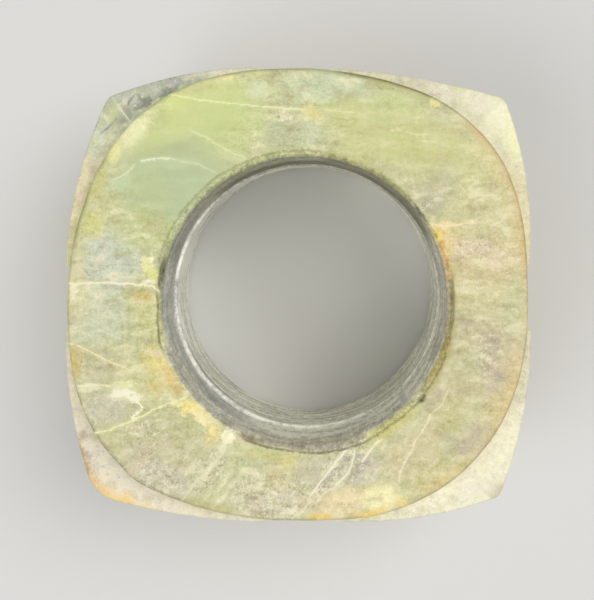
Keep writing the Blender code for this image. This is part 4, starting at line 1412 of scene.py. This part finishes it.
def jade():
    """Nephrite whose colour changes with the place, polished on top and weathered on the shoulders."""
    material = bpy.data.materials.new("jade")
    material.use_nodes = True
    graph = Graph(material.node_tree)
    shader = material.node_tree.nodes["Principled BSDF"]
    place = graph.node("ShaderNodeTexCoord", {}, "Object")
    here = graph.node("ShaderNodeVectorMath", {0: place, "Scale": 1 / MM}, operation="SCALE")
    grain = graph.noise(here, *GRAIN)
    cloud = graph.noise(here, *CLOUD)

    colour = add_mottling(graph, graph.mark("ground", "Color"), here, cloud)
    colour = add_patches(graph, colour, grain)
    colour = add_drill_marks(graph, colour, here, graph.mark("bore"))
    colour = add_grain(graph, colour, cloud, grain)
    colour = add_veins(graph, colour, cloud, grain)
    colour = add_mouth_line(graph, colour, grain)
    # Darkens the carved hollows, most just inside their edges
    colour = graph.tint(colour, CARVING_DARK, graph.mark("cavity"), graph.ramp(grain, 0.4, 0.6, 0.35, 0.8))

    outside = graph.math("MAXIMUM", graph.mark("shoulder"), graph.mark("side"))
    duller = graph.math("MULTIPLY", outside, WEATHERED_ROUGHNESS)
    roughness = graph.math("ADD", graph.ramp(cloud, *NOISE_SPAN, *POLISH), duller)
    relief = {"Strength": BUMP_STRENGTH, "Distance": BUMP_DEPTH * MM, "Height": grain}
    bump = graph.node("ShaderNodeBump", relief)
    for name, value in (("Base Color", colour), ("Roughness", roughness), ("Normal", bump)):
        material.node_tree.links.new(value, shader.inputs[name])
    return material


def add_floor():
    material = bpy.data.materials.new("floor")
    material.use_nodes = True
    shader = material.node_tree.nodes["Principled BSDF"]
    shader.inputs["Base Color"].default_value = FLOOR_COLOUR
    shader.inputs["Roughness"].default_value = FLOOR_ROUGHNESS
    bpy.ops.mesh.primitive_plane_add(size=FLOOR_SIZE, location=(0, 0, 0))
    floor = bpy.context.object
    floor.name = "floor"
    floor.data.materials.append(material)


def add_light(name, place, size, power, colour):
    """A soft square light aimed at the middle of the cong."""
    data = bpy.data.lights.new(name, "AREA")
    data.shape = "SQUARE"
    data.size = size
    data.energy = power
    data.color = colour
    light = bpy.data.objects.new(name, data)
    bpy.context.scene.collection.objects.link(light)
    light.location = place
    aim = Vector((0, 0, HEIGHT * MM)) - Vector(place)
    light.rotation_euler = aim.to_track_quat("-Z", "Y").to_euler()
    light.visible_camera = False


def add_lighting():
    for light in LIGHTS:
        add_light(*light)
    world = bpy.data.worlds.new("studio")
    bpy.context.scene.world = world
    world.use_nodes = True
    background = world.node_tree.nodes["Background"]
    background.inputs["Color"].default_value = (1.0, 1.0, 1.0, 1)
    background.inputs["Strength"].default_value = WORLD_STRENGTH
    bpy.context.scene.view_settings.view_transform = "Standard"


def add_camera():
    data = bpy.data.cameras.new("camera")
    data.lens = CAMERA_LENS
    data.sensor_width = CAMERA_SENSOR
    data.shift_x = -NADIR_RIGHT_PIXELS / FRAME_SIDE_PIXELS
    data.shift_y = -NADIR_UP_PIXELS / FRAME_SIDE_PIXELS
    data.clip_start = CAMERA_CLIP_START * MM
    camera = bpy.data.objects.new("camera", data)
    bpy.context.scene.collection.objects.link(camera)
    camera.location = (CAMERA_X * MM, CAMERA_Y * MM, (HEIGHT + CAMERA_DISTANCE) * MM)
    bpy.context.scene.camera = camera


noise.seed_set(NOISE_SEED)
add_camera()
add_lighting()
add_floor()
add_cong(jade())
